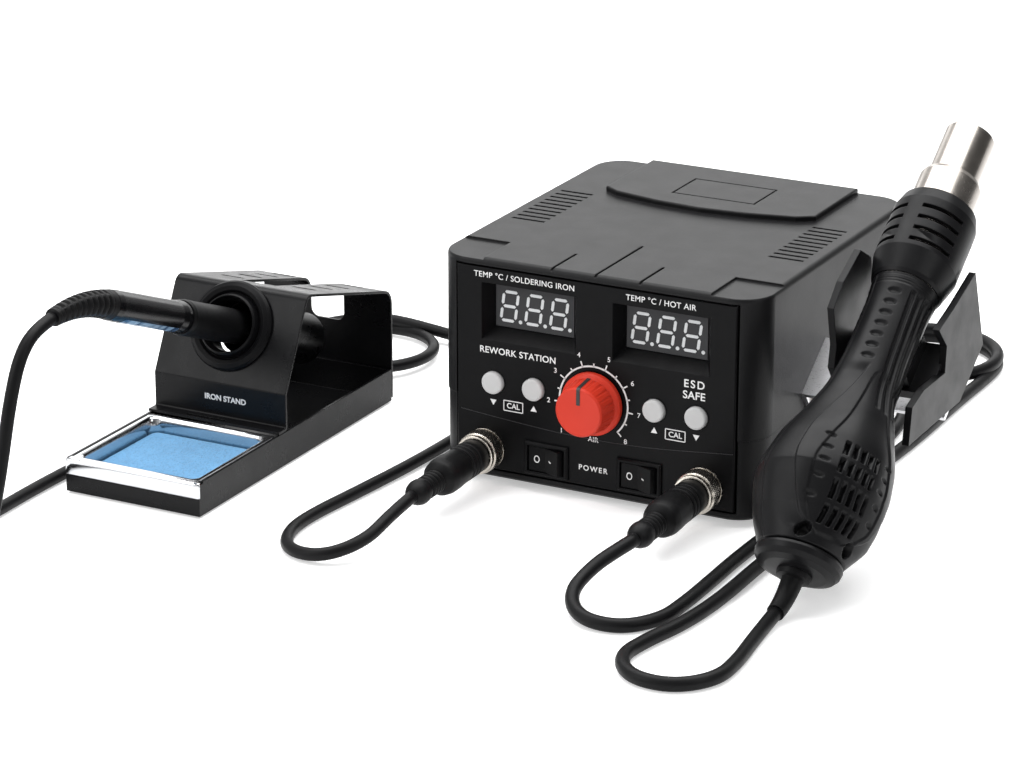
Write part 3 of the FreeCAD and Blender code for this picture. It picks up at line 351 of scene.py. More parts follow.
def turned_piece(name, base, direction, profile, material):
    """Closed surface of revolution; the profile is (distance along, radius) pairs in millimetres."""
    turn = Vector((0, 0, 1)).rotation_difference(Vector(direction).normalized()).to_matrix()
    vertices = []
    for along, radius in profile:
        for j in range(TURNED_SIDES):
            angle = 2 * math.pi * j / TURNED_SIDES
            spot = Vector((radius * math.cos(angle), radius * math.sin(angle), along)) * MM
            vertices.append(base + turn @ spot)
    faces = grid_faces(len(profile), TURNED_SIDES) + cap_faces(len(profile), TURNED_SIDES)
    piece = mesh_object(name, vertices, faces, material)
    fix_normals(piece)
    return piece


def fix_normals(piece):
    work = bmesh.new()
    work.from_mesh(piece.data)
    bmesh.ops.remove_doubles(work, verts=work.verts, dist=1e-7)
    bmesh.ops.recalc_face_normals(work, faces=work.faces)
    work.to_mesh(piece.data)
    work.free()
    piece.data.update()


def shade_by_angle(piece, degrees):
    piece.data.set_sharp_from_angle(angle=math.radians(degrees))


# ---- camera, light and floor ----------------------------------------------------------
CAMERA_PLACE = (637.86, -1297.85, 564.55)
CAMERA_AZIMUTH = 27.67
CAMERA_ELEVATION = 19.36
CAMERA_LENS = 128.32
CAMERA_SENSOR = 36.0


def make_camera():
    data = bpy.data.cameras.new("camera")
    data.lens = CAMERA_LENS
    data.sensor_width = CAMERA_SENSOR
    data.clip_start = 0.05
    data.clip_end = 50.0
    camera = bpy.data.objects.new("camera", data)
    bpy.context.scene.collection.objects.link(camera)
    azimuth = math.radians(CAMERA_AZIMUTH)
    elevation = math.radians(CAMERA_ELEVATION)
    back = Vector((math.sin(azimuth) * math.cos(elevation), -math.cos(azimuth) * math.cos(elevation),
                   math.sin(elevation)))
    right = Vector((math.cos(azimuth), math.sin(azimuth), 0.0))
    up = back.cross(right)
    turn = Matrix((right, up, back)).transposed()
    camera.matrix_world = Matrix.Translation(at(*CAMERA_PLACE)) @ turn.to_4x4()
    bpy.context.scene.camera = camera


def area_light(name, place, target, size, power):
    data = bpy.data.lights.new(name, "AREA")
    data.shape = "RECTANGLE"
    data.size = size[0]
    data.size_y = size[1]
    data.energy = power
    lamp = bpy.data.objects.new(name, data)
    bpy.context.scene.collection.objects.link(lamp)
    lamp.location = at(*place)
    lamp.rotation_euler = (at(*target) - lamp.location).to_track_quat("-Z", "Y").to_euler()


def make_world():
    """Pale studio that falls off towards the right, so that round metal shows light and dark."""
    world = bpy.data.worlds.new("studio")
    bpy.context.scene.world = world
    world.use_nodes = True
    tree = world.node_tree
    background = tree.nodes["Background"]
    coords = tree.nodes.new("ShaderNodeTexCoord")
    split = tree.nodes.new("ShaderNodeSeparateXYZ")
    tree.links.new(coords.outputs["Generated"], split.inputs["Vector"])
    bright = map_range(tree, split.outputs["X"], -0.1, 0.75, 0.85, 0.12)
    tree.links.new(bright, background.inputs["Strength"])
    background.inputs["Color"].default_value = (1.0, 1.0, 1.0, 1.0)


FLOOR_HALF = 6.0


def make_stage():
    """White table, studio light and four soft lamps."""
    material, tree, shader = new_material("floor_white")
    cloud = noise(tree, object_coords(tree), 2.0)
    tree.links.new(spread(tree, cloud, 0.95, 1.0), shader.inputs["Roughness"])
    shader.inputs["Base Color"].default_value = (0.80, 0.80, 0.80, 1.0)
    shader.inputs["Specular IOR Level"].default_value = 0.0
    shader.inputs["Emission Color"].default_value = (1.0, 1.0, 1.0, 1.0)
    shader.inputs["Emission Strength"].default_value = 0.42
    corners = [(FLOOR_HALF * x, FLOOR_HALF * y, 0) for x, y in ((-1, -1), (1, -1), (1, 1), (-1, 1))]
    floor = mesh_object("floor", corners, [(0, 1, 2, 3)], material, False)
    make_world()
    area_light("top_softbox", (-100, 250, 1000), (0, 30, 40), (1.3, 0.9), 20.0)
    area_light("back_sheen", (-750, 1400, 620), (0, 60, 100), (1.5, 0.6), 4.5)
    area_light("front_left", (-900, -1000, 800), (-60, 0, 40), (0.8, 1.0), 8.0)
    area_light("right_strip", (1000, -200, 800), (120, 20, 60), (0.3, 1.0), 3.8)
    bpy.context.scene.view_settings.view_transform = "Standard"


# ---- cords ----------------------------------------------------------------------------
IRON_CORD_D = 5.6
GUN_CORD_D = 6.0
COIL_R = 34.0
COIL_STEPS = 16
CORD_SIDES = 18
IRON_COIL = (-183.0, 122.0)
GUN_COIL = (62.0, 234.0)
IRON_TO_COIL = (
    (-173.3, -148.0, 100.7), (-173.3, -160.5, 99.7), (-173.4, -172.5, 91.5), (-173.8, -180.5, 73.0),
    (-174.4, -187.0, 49.0), (-175.3, -194.5, 26.0), (-176.0, -203.5, 10.0), (-178.5, -217.0, 2.8),
    (-190.5, -228.5, 2.8), (-208.0, -227.5, 2.8), (-220.5, -214.0, 2.8), (-221.5, -190.0, 2.8),
    (-217.0, -150.0, 2.8), (-218.5, -98.0, 2.8), (-216.0, -46.0, 2.8), (-218.0, 10.0, 2.8),
    (-216.0, 66.0, 2.8))
IRON_FROM_COIL = (
    (-152.0, 156.5, 5.0), (-120.0, 153.0, 2.8), (-97.0, 134.0, 2.8),
    (-87.5, 100.0, 2.8), (-86.0, 52.0, 2.8), (-87.5, 4.0, 2.8), (-92.0, -40.0, 2.8), (-96.5, -76.0, 2.8),
    (-95.0, -97.0, 2.8), (-85.5, -113.5, 2.8), (-67.0, -116.5, 4.0), (-54.0, -102.5, 8.5),
    (-52.2, -82.5, 14.5), (-51.9, -66.5, 16.2))
GUN_TO_COIL = (
    (122.5, -84.6, 4.5), (122.6, -95.5, 3.0), (124.5, -112.0, 3.0), (127.0, -130.0, 3.0),
    (127.3, -150.0, 3.0), (114.8, -164.5, 3.0), (96.2, -163.6, 3.0), (84.8, -148.5, 3.0),
    (87.5, -129.0, 3.0), (93.0, -109.0, 3.0), (96.0, -80.0, 3.0), (95.2, -34.0, 3.0), (97.0, 20.0, 3.0),
    (95.0, 78.0, 3.0), (97.0, 134.0, 3.0), (95.5, 186.0, 3.0))
GUN_FROM_COIL = (
    (60.0, 189.5, 5.5), (78.0, 169.0, 3.0), (86.0, 132.0, 3.0), (84.5, 78.0, 3.0),
    (86.0, 22.0, 3.0), (84.0, -32.0, 3.0), (84.8, -66.0, 3.0), (85.0, -90.0, 3.0), (83.6, -108.5, 3.0),
    (72.6, -123.5, 3.0), (54.4, -123.2, 3.6), (43.2, -108.8, 6.5), (44.6, -91.5, 11.5), (49.2, -78.0, 15.0),
    (51.9, -66.5, 16.2))


def coil_turns(centre, start_angle, sweep, height0, height1):
    """Points round a flat coil, from its first to its last, rising by the stated heights."""
    steps = max(2, round(abs(sweep) / 360.0 * COIL_STEPS))
    points = []
    for i in range(steps + 1):
        share = i / steps
        angle = math.radians(start_angle + sweep * share)
        points.append((centre[0] + COIL_R * math.cos(angle), centre[1] + COIL_R * math.sin(angle),
                       height0 + (height1 - height0) * share))
    return points


def smooth_line(name, points):
    """Centreline of a cord: points read from a NURBS spline through the route's points."""
    curve = bpy.data.curves.new(name + "_route", "CURVE")
    curve.dimensions = "3D"
    spline = curve.splines.new("NURBS")
    spline.points.add(len(points) - 1)
    for target, point in zip(spline.points, points):
        target.co = (*at(*point), 1.0)
    spline.order_u = 3
    spline.use_endpoint_u = True
    spline.resolution_u = 8
    holder = bpy.data.objects.new(name + "_route", curve)
    bpy.context.scene.collection.objects.link(holder)
    sampled = bpy.data.meshes.new_from_object(holder)
    line = [v.co.copy() for v in sampled.vertices]
    bpy.data.objects.remove(holder)
    bpy.data.meshes.remove(sampled)
    return line


def cord_mesh(name, line, diameter, material):
    """Round tube along a centreline, with a frame that does not twist."""
    vertices = []
    tangent = (line[1] - line[0]).normalized()
    side = tangent.orthogonal().normalized()
    for i, place in enumerate(line):
        ahead = line[min(i + 1, len(line) - 1)] - line[max(i - 1, 0)]
        turned = ahead.normalized()
        side = (tangent.rotation_difference(turned) @ side).normalized()
        side = (side - turned * side.dot(turned)).normalized()
        tangent = turned
        other = tangent.cross(side)
        for j in range(CORD_SIDES):
            angle = 2 * math.pi * j / CORD_SIDES
            spoke = side * math.cos(angle) + other * math.sin(angle)
            vertices.append(place + spoke * 0.5 * diameter * MM)
    faces = grid_faces(len(line), CORD_SIDES) + cap_faces(len(line), CORD_SIDES)
    return mesh_object(name, vertices, faces, material)


def make_cord(name, route, diameter, tool_body, blend_start, blend_end, *nodes):
    """Cord from its tool to its plug, as one tube along the route. tool_body, blend_start and blend_end are
    not used.
    """
    line = smooth_line(name, route)
    cord = cord_mesh(name, line, diameter, MATERIALS["cord_rubber"])
    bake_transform(cord)
    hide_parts(*nodes)


def make_cords():
    iron_route = (list(IRON_TO_COIL) + coil_turns(IRON_COIL, 180.0, -450.0, 2.8, 8.4)
                  + list(IRON_FROM_COIL))
    make_cord("iron_lead", iron_route, IRON_CORD_D, "iron", (-173.3, -150.0, 96.0), (-173.3, -150.0, 20.0),
              "iron_cord_end", "iron_cord", "iron_cord_coil")
    gun_route = list(GUN_TO_COIL) + coil_turns(GUN_COIL, 0.0, 585.0, 3.0, 9.0) + list(GUN_FROM_COIL)
    make_cord("gun_lead", gun_route, GUN_CORD_D, "gun", (122.0, -150.0, 3.0), (99.0, -150.0, 3.0),
              "gun_cord_end", "gun_cord", "gun_cord_coil")


# ---- front panel print and read-outs --------------------------------------------------
def label(name, text, x, z, size, y=-0.06, spacing=1.0, bold=0.0):
    """Raised print, centred on the given place; sizes in millimetres."""
    curve = bpy.data.curves.new(name, "FONT")
    curve.body = text
    curve.size = size * MM
    curve.align_x = "CENTER"
    curve.align_y = "CENTER"
    curve.extrude = 0.00003
    curve.offset = bold * MM
    curve.space_character = spacing
    text_object = bpy.data.objects.new(name, curve)
    bpy.context.scene.collection.objects.link(text_object)
    text_object.rotation_euler = (math.pi / 2, 0.0, 0.0)
    text_object.location = at(x, y, z)
    bpy.context.view_layer.update()
    mesh = bpy.data.meshes.new_from_object(text_object)
    mesh.transform(text_object.matrix_world)
    bpy.data.objects.remove(text_object)
    piece = bpy.data.objects.new(name, mesh)
    bpy.context.scene.collection.objects.link(piece)
    piece.data.materials.clear()
    piece.data.materials.append(PRINT_WHITE)
    finish_piece(piece, "station", "button_grey")


def flat_strips(name, strips, material, y0=-0.09, y1=-0.02):
    """Thin raised print made of convex polygons given as lists of (x, z) points."""
    vertices = []
    faces = []
    for strip in strips:
        start = len(vertices)
        count = len(strip)
        for y in (y0, y1):
            for x, z in strip:
                vertices.append(at(x, y, z))
        faces.append(tuple(range(start, start + count)))
        faces.append(tuple(reversed(range(start + count, start + 2 * count))))
        for i in range(count):
            j = (i + 1) % count
            faces.append((start + i, start + count + i, start + count + j, start + j))
    piece = mesh_object(name, vertices, faces, material, False)
    fix_normals(piece)
    return piece


def bar(x0, z0, x1, z1, width):
    """Straight printed line as a four-cornered polygon."""
    along = Vector((x1 - x0, z1 - z0)).normalized()
    across = Vector((-along.y, along.x)) * 0.5 * width
    return [(x0 + across.x, z0 + across.y), (x0 - across.x, z0 - across.y),
            (x1 - across.x, z1 - across.y), (x1 + across.x, z1 + across.y)]


KNOB_Z = 45.7
DIAL_R = 16.2
DIAL_NUMBER_R = 21.6
DIAL_START = math.radians(225.0)
DIAL_SWEEP = math.radians(-270.0)
DIAL_STEPS = 60
LAST_NUMBER = 8
BUTTON_X = (-48.3, -28.7, 28.7, 48.3)


def dial_spot(radius, angle):
    return radius * math.cos(angle), KNOB_Z + radius * math.sin(angle)


def make_dial():
    """Arc with a long tick at each of the numbers 1 to 8 and a short one between them."""
    strips = []
    spots = [dial_spot(DIAL_R, DIAL_START + DIAL_SWEEP * i / DIAL_STEPS) for i in range(DIAL_STEPS + 1)]
    for start, end in zip(spots, spots[1:]):
        strips.append(bar(*start, *end, 0.75))
    half_steps = 2 * (LAST_NUMBER - 1)
    for half_step in range(half_steps + 1):
        angle = DIAL_START + DIAL_SWEEP * half_step / half_steps
        reach = 2.6 if half_step % 2 == 0 else 1.4
        strips.append(bar(*dial_spot(DIAL_R - 0.2, angle), *dial_spot(DIAL_R + reach, angle), 0.6))
        if half_step % 2 == 0:
            number = 1 + half_step // 2
            x, z = dial_spot(DIAL_NUMBER_R, angle)
            label("dial_number_%d" % number, str(number), x, z, 3.1, bold=0.03)
    finish_piece(flat_strips("dial_arc", strips, PRINT_WHITE), "station", "button_grey")


def triangle(x, z, size, up):
    sign = 1.0 if up else -1.0
    return [(x - size, z - sign * 0.8 * size), (x + size, z - sign * 0.8 * size), (x, z + sign * 0.9 * size)]


def rectangle_outline(x, z, half_w, half_h, width):
    corners = [(x - half_w, z - half_h), (x + half_w, z - half_h), (x + half_w, z + half_h),
               (x - half_w, z + half_h)]
    return [bar(*corners[i], *corners[(i + 1) % 4], width) for i in range(4)]


def make_legends():
    label("label_iron", "TEMP °C / SOLDERING IRON", -33.5, 95.2, 3.6, bold=0.015, spacing=1.06)
    label("label_gun", "TEMP °C / HOT AIR", 31.0, 95.2, 3.6, bold=0.015, spacing=1.06)
    label("label_station", "REWORK STATION", -36.5, 61.4, 4.1, bold=0.04, spacing=1.05)
    label("label_esd", "ESD", 47.0, 61.4, 4.9, bold=0.06, spacing=1.3)
    label("label_safe", "SAFE", 47.0, 56.4, 4.9, bold=0.06, spacing=1.03)
    label("label_power", "POWER", 0.0, 15.2, 3.4, bold=0.03, spacing=1.3)
    label("label_air", "AIR", 0.0, 28.8, 3.3, bold=0.0)
    strips = []
    for x, up in zip(BUTTON_X, (False, True, True, False)):
        strips.append(triangle(x, 38.0, 1.5, up))
    for side, x in (("iron", -38.6), ("gun", 38.6)):
        label("label_cal_" + side, "CAL", x, 37.4, 3.4, bold=0.05)
        strips += rectangle_outline(x, 37.4, 4.6, 2.3, 0.4)
    finish_piece(flat_strips("panel_marks", strips, PRINT_WHITE), "station", "button_grey")


DISPLAY_X = 31.3
DISPLAY_Z = 80.5
DISPLAY_Y = 6.0
DIGIT_W = 6.9
DIGIT_H = 13.0
DIGIT_STEP = 11.9
DIGIT_LEAN = 0.13
DOT_R = 0.85
SEGMENTS = (
    ((0.06, 1.0), (0.94, 1.0)), ((0.06, 0.5), (0.94, 0.5)), ((0.06, 0.0), (0.94, 0.0)),
    ((0.0, 0.94), (0.0, 0.56)), ((1.0, 0.94), (1.0, 0.56)), ((0.0, 0.44), (0.0, 0.06)),
    ((1.0, 0.44), (1.0, 0.06)))


def segment_shape(x0, z0, x1, z1, width):
    """Bar with pointed ends, as on a seven-segment read-out."""
    along = Vector((x1 - x0, z1 - z0))
    reach = along.normalized() * 0.5 * width
    across = Vector((-reach.y, reach.x))
    return [(x0, z0), (x0 + reach.x + across.x, z0 + reach.y + across.y),
            (x1 - reach.x + across.x, z1 - reach.y + across.y), (x1, z1),
            (x1 - reach.x - across.x, z1 - reach.y - across.y),
            (x0 + reach.x - across.x, z0 + reach.y - across.y)]


def make_readout(name, x_middle):
    """Three digits and their points, unlit, leaning a little to the right."""
    shapes = []
    for digit in range(3):
        x_left = x_middle - 15.6 + DIGIT_STEP * digit
        for (u0, v0), (u1, v1) in SEGMENTS:
            rise0 = (v0 - 0.5) * DIGIT_H
            rise1 = (v1 - 0.5) * DIGIT_H
            x0 = x_left + u0 * DIGIT_W + rise0 * DIGIT_LEAN
            x1 = x_left + u1 * DIGIT_W + rise1 * DIGIT_LEAN
            shapes.append(segment_shape(x0, DISPLAY_Z + rise0, x1, DISPLAY_Z + rise1, 1.3))
        dot_x = x_left + DIGIT_W + 1.75
        dot_z = DISPLAY_Z - 0.5 * DIGIT_H + 0.1
        shapes.append([(dot_x + DOT_R * math.cos(a), dot_z + DOT_R * math.sin(a))
                       for a in (2 * math.pi * k / 20 for k in range(20))])
    piece = flat_strips(name, shapes, SEGMENT_GREY, DISPLAY_Y - 0.12, DISPLAY_Y - 0.01)
    finish_piece(piece, "station", "display_face")


KNOB_FACE_Y = -14.98
POINTER_HALF = 0.85


def make_pointer():
    """Black line on the knob's face that goes on down its side to the skirt."""
    line = [(KNOB_FACE_Y, 3.4), (KNOB_FACE_Y, 10.35), (-14.1, 11.12), (-4.6, 12.32)]
    vertices = []
    for y, radius in line:
        for x in (-POINTER_HALF, POINTER_HALF):
            vertices.append(at(x, y, KNOB_Z + radius))
    faces = [(2 * i, 2 * i + 1, 2 * i + 3, 2 * i + 2) for i in range(len(line) - 1)]
    piece = mesh_object("knob_pointer", vertices, faces, POINTER_BLACK, False)
    thick = piece.modifiers.new("thickness", "SOLIDIFY")
    thick.thickness = 0.0002
    thick.offset = 0.0
    finish_piece(piece, "air_knob", "rubber_black")


SWITCH_Z = 15.7
ROCKER_X = 22.2
ROCKER_PIVOT_Y = 1.0
ROCKER_PIVOT_DEPTH = 2.2
RING_STEPS = 24
ROCKER_TILT = math.radians(11.0)


def rocker_print(name, body, centre_x, strips):
    """Printed mark on one slope of a rocker; strips are outlines in (along the slope, z)."""
    piece = flat_strips(name, strips, PRINT_WHITE, -0.06, 0.02)
    slope = 0.0 if strips[0][0][0] < 0 else -2.0 * ROCKER_TILT
    pivot = at(centre_x, ROCKER_PIVOT_Y, 0.0)
    back_to_pivot = Matrix.Translation(-at(0, ROCKER_PIVOT_DEPTH, 0))
    piece.data.transform(Matrix.Translation(pivot) @ Matrix.Rotation(slope, 4, "Z") @ back_to_pivot)
    finish_piece(piece, body, "button_grey")


def make_rocker_marks():
    for side, x in (("iron", -ROCKER_X), ("gun", ROCKER_X)):
        ring = []
        for i in range(RING_STEPS):
            a0 = 2 * math.pi * i / RING_STEPS
            a1 = 2 * math.pi * (i + 1) / RING_STEPS
            ring.append([(-4.3 + r * math.cos(a), SWITCH_Z + 1.25 * r * math.sin(a))
                         for r, a in ((1.35, a0), (1.0, a0), (1.0, a1), (1.35, a1))])
        rocker_print(side + "_mark_off", side + "_rocker", x, ring)
        dash = [bar(3.0, SWITCH_Z + 0.25, 4.2, SWITCH_Z - 0.25, 0.45)]
        rocker_print(side + "_mark_on", side + "_rocker", x, dash)


PANEL_SEAM = ((-68.7, 33.2), (-57.0, 32.1), (-45.0, 31.1), (-30.0, 30.0), (-16.0, 29.2), (3.0, 28.9),
              (22.0, 29.4), (40.0, 30.8), (54.0, 32.2), (65.5, 33.3))


def make_panel_seam():
    """Fine moulded line that sweeps across the panel under the knob, drawn in a lighter grey as a painted
    highlight along it.
    """
    xs = np.linspace(PANEL_SEAM[0][0], PANEL_SEAM[-1][0], 60)
    zs = spline_through(xs, *zip(*PANEL_SEAM))
    spots = [(x, z) for x, z in zip(xs, zs) if abs(x) < 65.6]
    strips = [bar(*start, *end, 0.3) for start, end in zip(spots, spots[1:])]
    finish_piece(flat_strips("panel_seam", strips, MATERIALS["panel_edge"], -0.1, 0.05), "station",
                 "panel_plastic")


def make_front():
    make_dial()
    make_legends()
    make_readout("iron_readout", -DISPLAY_X)
    make_readout("gun_readout", DISPLAY_X)
    make_pointer()
    make_rocker_marks()
    make_panel_seam()
    label("label_stand", "IRON STAND", -170.5, 26.3, 3.6, y=-23.56, bold=0.1)


# ---- surfaces that follow a path ------------------------------------------------------
def smoothstep(value):
    value = np.clip(value, 0.0, 1.0)
    return value * value * (3.0 - 2.0 * value)


def spline_through(xs, knots_x, knots_y):
    """Cubic curve through the knots with slopes that never overshoot."""
    knots_x = np.array(knots_x, float)
    knots_y = np.array(knots_y, float)
    widths = np.diff(knots_x)
    slopes = np.diff(knots_y) / widths
    tangents = np.zeros(len(knots_x))
    tangents[0] = slopes[0]
    tangents[-1] = slopes[-1]
    for i in range(1, len(slopes)):
        if slopes[i - 1] * slopes[i] > 0:
            w1 = 2 * widths[i] + widths[i - 1]
            w2 = widths[i] + 2 * widths[i - 1]
            tangents[i] = (w1 + w2) / (w1 / slopes[i - 1] + w2 / slopes[i])
    spans = np.clip(np.searchsorted(knots_x, xs) - 1, 0, len(widths) - 1)
    t = (xs - knots_x[spans]) / widths[spans]
    h = widths[spans]
    y0, y1 = knots_y[spans], knots_y[spans + 1]
    m0, m1 = tangents[spans], tangents[spans + 1]
    return ((2 * t ** 3 - 3 * t ** 2 + 1) * y0 + (t ** 3 - 2 * t ** 2 + t) * h * m0
            + (-2 * t ** 3 + 3 * t ** 2) * y1 + (t ** 3 - t ** 2) * h * m1)


def grid_piece(name, points, material, wrap=True, ends=False):
    """Mesh from an array of points shaped (rows, columns, 3), in drawing millimetres."""
    rows, columns = points.shape[:2]
    flat = points.reshape(-1, 3) * MM + np.array(ORIGIN)
    faces = grid_faces(rows, columns, wrap)
    if ends:
        faces += cap_faces(rows, columns)
    piece = mesh_object(name, flat.tolist(), faces, material)
    fix_normals(piece)
    return piece


# ---- hot-air gun's handle -------------------------------------------------------------
GUN_TILT = math.radians(35.2)
GUN_POINT = np.array((122.5, -32.0, 47.0))
GUN_AXIS = np.array((0.0, math.cos(GUN_TILT), math.sin(GUN_TILT)))
CAP_TILT = math.radians(44.5)
CAP_AXIS = np.array((0.0, math.cos(CAP_TILT), math.sin(CAP_TILT)))
CAP_CENTRE = np.array((122.5, -61.0, 19.5))
GUN_FRONT = 46.0
GUN_LOW = -39.0
GUN_HIGH = 93.0
BEND_START = -12.0
BEND_MIDDLE = -25.8
NECK_R = 13.7
DIMPLE_ANGLE = -41.0
DIMPLE_FIRST = 84.0
DIMPLE_STEP = 5.7
FLUTE_ANGLES = (38.0, 53.0, 69.0, 87.0)
FLUTE_SPLAY = 11.0
FLUTE_LOW = 26.0
FLUTE_HIGH = 87.5
NECK_RING_FIRST = 88.9
NECK_RING_STEP = 1.15
GRILLE_FIRST = -27.5
GRILLE_ROW_STEP = 8.7
GRILLE_COLUMN_STEP = 3.8
GILL_FIRST = -22.5
GILL_STEP = 6.2
SCREW_HOLE_ARC = 11.4
SCREW_HOLE_ALONG = -34.5
SHELL_SIZES = ((-39.0, 18.4, 18.0), (-25.8, 25.0, 22.5), (-12.0, 28.0, 26.0), (4.0, 26.0, 24.0),
               (22.0, 20.0, 18.5), (40.0, 15.0, 14.6), (58.0, 13.7, 13.7), (80.0, 13.6, 13.6),
               (93.0, 14.6, 14.6))
SWOOSH_OUTER = ((-39.0, 40.0), (-34.0, 22.0), (-28.0, 2.0), (-17.0, -8.0), (-4.0, -13.0), (6.0, -12.5),
                (17.0, -9.0), (31.0, 2.0), (45.0, 16.0), (50.0, 24.0))
SWOOSH_INNER = ((-39.0, 44.0), (-30.0, 14.0), (-22.0, 6.0), (-10.0, 6.0), (1.0, 10.0), (13.0, 17.0),
                (30.0, 24.0), (42.0, 30.0), (46.0, 44.0))


def gun_axis_line(along):
    """Centre and upright of the handle at each distance along it."""
    straight = GUN_POINT + GUN_AXIS * along[:, None]
    bend = smoothstep((BEND_START - along) / (BEND_START - GUN_LOW))[:, None]
    middle = CAP_CENTRE + CAP_AXIS * 13.0 + np.array((0.0, 1.5, -0.5))
    low = CAP_CENTRE + CAP_AXIS
    share = np.clip((BEND_START - along) / (BEND_START - BEND_MIDDLE), 0.0, 1.0)[:, None]
    last = np.clip((BEND_MIDDLE - along) / (BEND_MIDDLE - GUN_LOW), 0.0, 1.0)[:, None]
    start = GUN_POINT + GUN_AXIS * BEND_START
    curved = start + (middle - start) * share + (low - middle) * last
    centre = np.where(along[:, None] > BEND_START, straight, curved)
    direction = GUN_AXIS * (1 - bend) + CAP_AXIS * bend
    direction /= np.linalg.norm(direction, axis=1)[:, None]
    upright = np.stack([0 * direction[:, 0], -direction[:, 2], direction[:, 1]], 1)
    return centre, upright


def oval_dent(arc, along, arc0, along0, half_arc, half_along):
    """One inside an oval on the unrolled surface, falling to nothing at its edge."""
    reach = np.sqrt(((arc - arc0) / half_arc) ** 2 + ((along - along0) / half_along) ** 2)
    return smoothstep((1.0 - reach) * 2.2)


def gun_relief(along, angle, radius):
    """Height of the moulded detail, in millimetres, over the plain handle."""
    front = angle - GUN_FRONT
    arc = np.radians(front) * radius
    height = np.zeros_like(arc)
    for i in range(7):
        height -= 0.9 * oval_dent(arc, along, math.radians(DIMPLE_ANGLE) * NECK_R,
                                  DIMPLE_FIRST - DIMPLE_STEP * i, 3.4, 1.5)
    for flute in FLUTE_ANGLES:
        centre = flute + FLUTE_SPLAY * (1.0 - np.clip((along - FLUTE_LOW) / 60.0, 0.0, 1.0))
        across = np.abs(np.radians(angle - centre) * radius)
        ends = smoothstep((along - FLUTE_LOW) / 2.0) * smoothstep((FLUTE_HIGH - along) / 2.0)
        height -= 1.0 * smoothstep((1.5 - across) / 0.8) * ends
    for ring in range(4):
        height -= 0.35 * smoothstep((0.5 - np.abs(along - (NECK_RING_FIRST + NECK_RING_STEP * ring))) / 0.3)
    folded = GUN_FRONT - np.abs(front)
    outer = spline_through(np.clip(along, GUN_LOW, SWOOSH_OUTER[-1][0]), *zip(*SWOOSH_OUTER))
    inner = spline_through(np.clip(along, GUN_LOW, SWOOSH_INNER[-1][0]), *zip(*SWOOSH_INNER))
    on_swoosh = smoothstep((47.0 - along) / 6.0) * smoothstep((along + 36.0) / 3.0)
    outside = np.radians(outer - folded) * radius
    height -= 1.0 * on_swoosh * smoothstep(outside / 0.9 + 0.5) * smoothstep((14.0 - outside) / 12.0)
    inside = np.radians(folded - inner) * radius
    height -= 0.7 * on_swoosh * smoothstep(inside / 1.0 + 0.5)
    for row in range(4):
        for column in range(5):
            across = np.abs(arc - GRILLE_COLUMN_STEP * (column - 2)) - 0.95
            down = np.abs(along - (GRILLE_FIRST + GRILLE_ROW_STEP * row)) - 3.1
            height -= 3.5 * smoothstep(0.5 - np.maximum(across, down) / 0.3)
    for i in range(5):
        gill = GILL_FIRST + GILL_STEP * i
        for side in (-1.0, 1.0):
            place = side * (14.6 + 0.25 * abs(i - 2)) + side * 0.35 * (along - gill)
            height -= 0.8 * oval_dent(arc, along, place, gill, 2.7, 1.0)
    for side in (-1.0, 1.0):
        hole = np.sqrt((arc - SCREW_HOLE_ARC * side) ** 2 + (along - SCREW_HOLE_ALONG) ** 2)
        height -= 4.5 * smoothstep((3.3 - hole) / 0.5)
    for seam in (GUN_FRONT - 90.0, GUN_FRONT + 90.0):
        height -= 0.3 * smoothstep((0.4 - np.abs(np.radians(angle - seam) * radius)) / 0.3)
    back = smoothstep((np.abs(front) - 96.0) / 6.0)
    ribs = smoothstep((along - 50.0) / 4.0) * smoothstep((88.0 - along) / 3.0)
    height -= 0.5 * back * ribs * smoothstep(np.sin(along * 2 * math.pi / 4.0) * 1.5)
    return height


RELIEF_FROM = -50.0
RELIEF_TO = 142.0
BACK_MIDDLE = 226.0


def make_gun_handle():
    """Both shell halves as one moulded surface, finer on the side that carries the relief."""
    along = np.linspace(GUN_LOW, GUN_HIGH, 300)
    seen = np.linspace(RELIEF_FROM, RELIEF_TO, 300)
    hidden = np.linspace(RELIEF_TO, RELIEF_FROM + 360.0, 84)[1:-1]
    angle = np.concatenate([seen, hidden])
    half_side = spline_through(along, *zip(*[(s, a) for s, a, b in SHELL_SIZES]))
    half_up = spline_through(along, *zip(*[(s, b) for s, a, b in SHELL_SIZES]))
    centre, upright = gun_axis_line(along)
    grid_s, grid_a = np.meshgrid(along, angle, indexing="ij")
    turn = np.radians(grid_a)
    radius = np.sqrt((half_side[:, None] * np.sin(turn)) ** 2 + (half_up[:, None] * np.cos(turn)) ** 2)
    relief = gun_relief(grid_s, np.where(grid_a > BACK_MIDDLE, grid_a - 360.0, grid_a), radius) - 0.05
    sideways = ((half_side[:, None] + relief) * np.sin(turn))[:, :, None] * np.array((1.0, 0.0, 0.0))
    upwards = ((half_up[:, None] + relief) * np.cos(turn))[:, :, None] * upright[:, None, :]
    piece = grid_piece("gun_handle", centre[:, None, :] + sideways + upwards, MATERIALS["gun_plastic"],
                       ends=True)
    finish_piece(piece, "gun", "gun_plastic", "gun_shell_front", "gun_shell_back")


# ---- soldering iron's strain relief ---------------------------------------------------
IRON_TILT = math.radians(21.5)
IRON_POINT = np.array((-173.3, -17.5, 58.9))
IRON_AXIS = np.array((0.0, -math.cos(IRON_TILT), math.sin(IRON_TILT)))
BOOT_START = 98.1
BOOT_LENGTH = 40.0
BOOT_TURN = math.radians(26.0)
BOOT_START_R = 6.5
BOOT_END_R = 3.9
BOOT_RIBS = 11.0


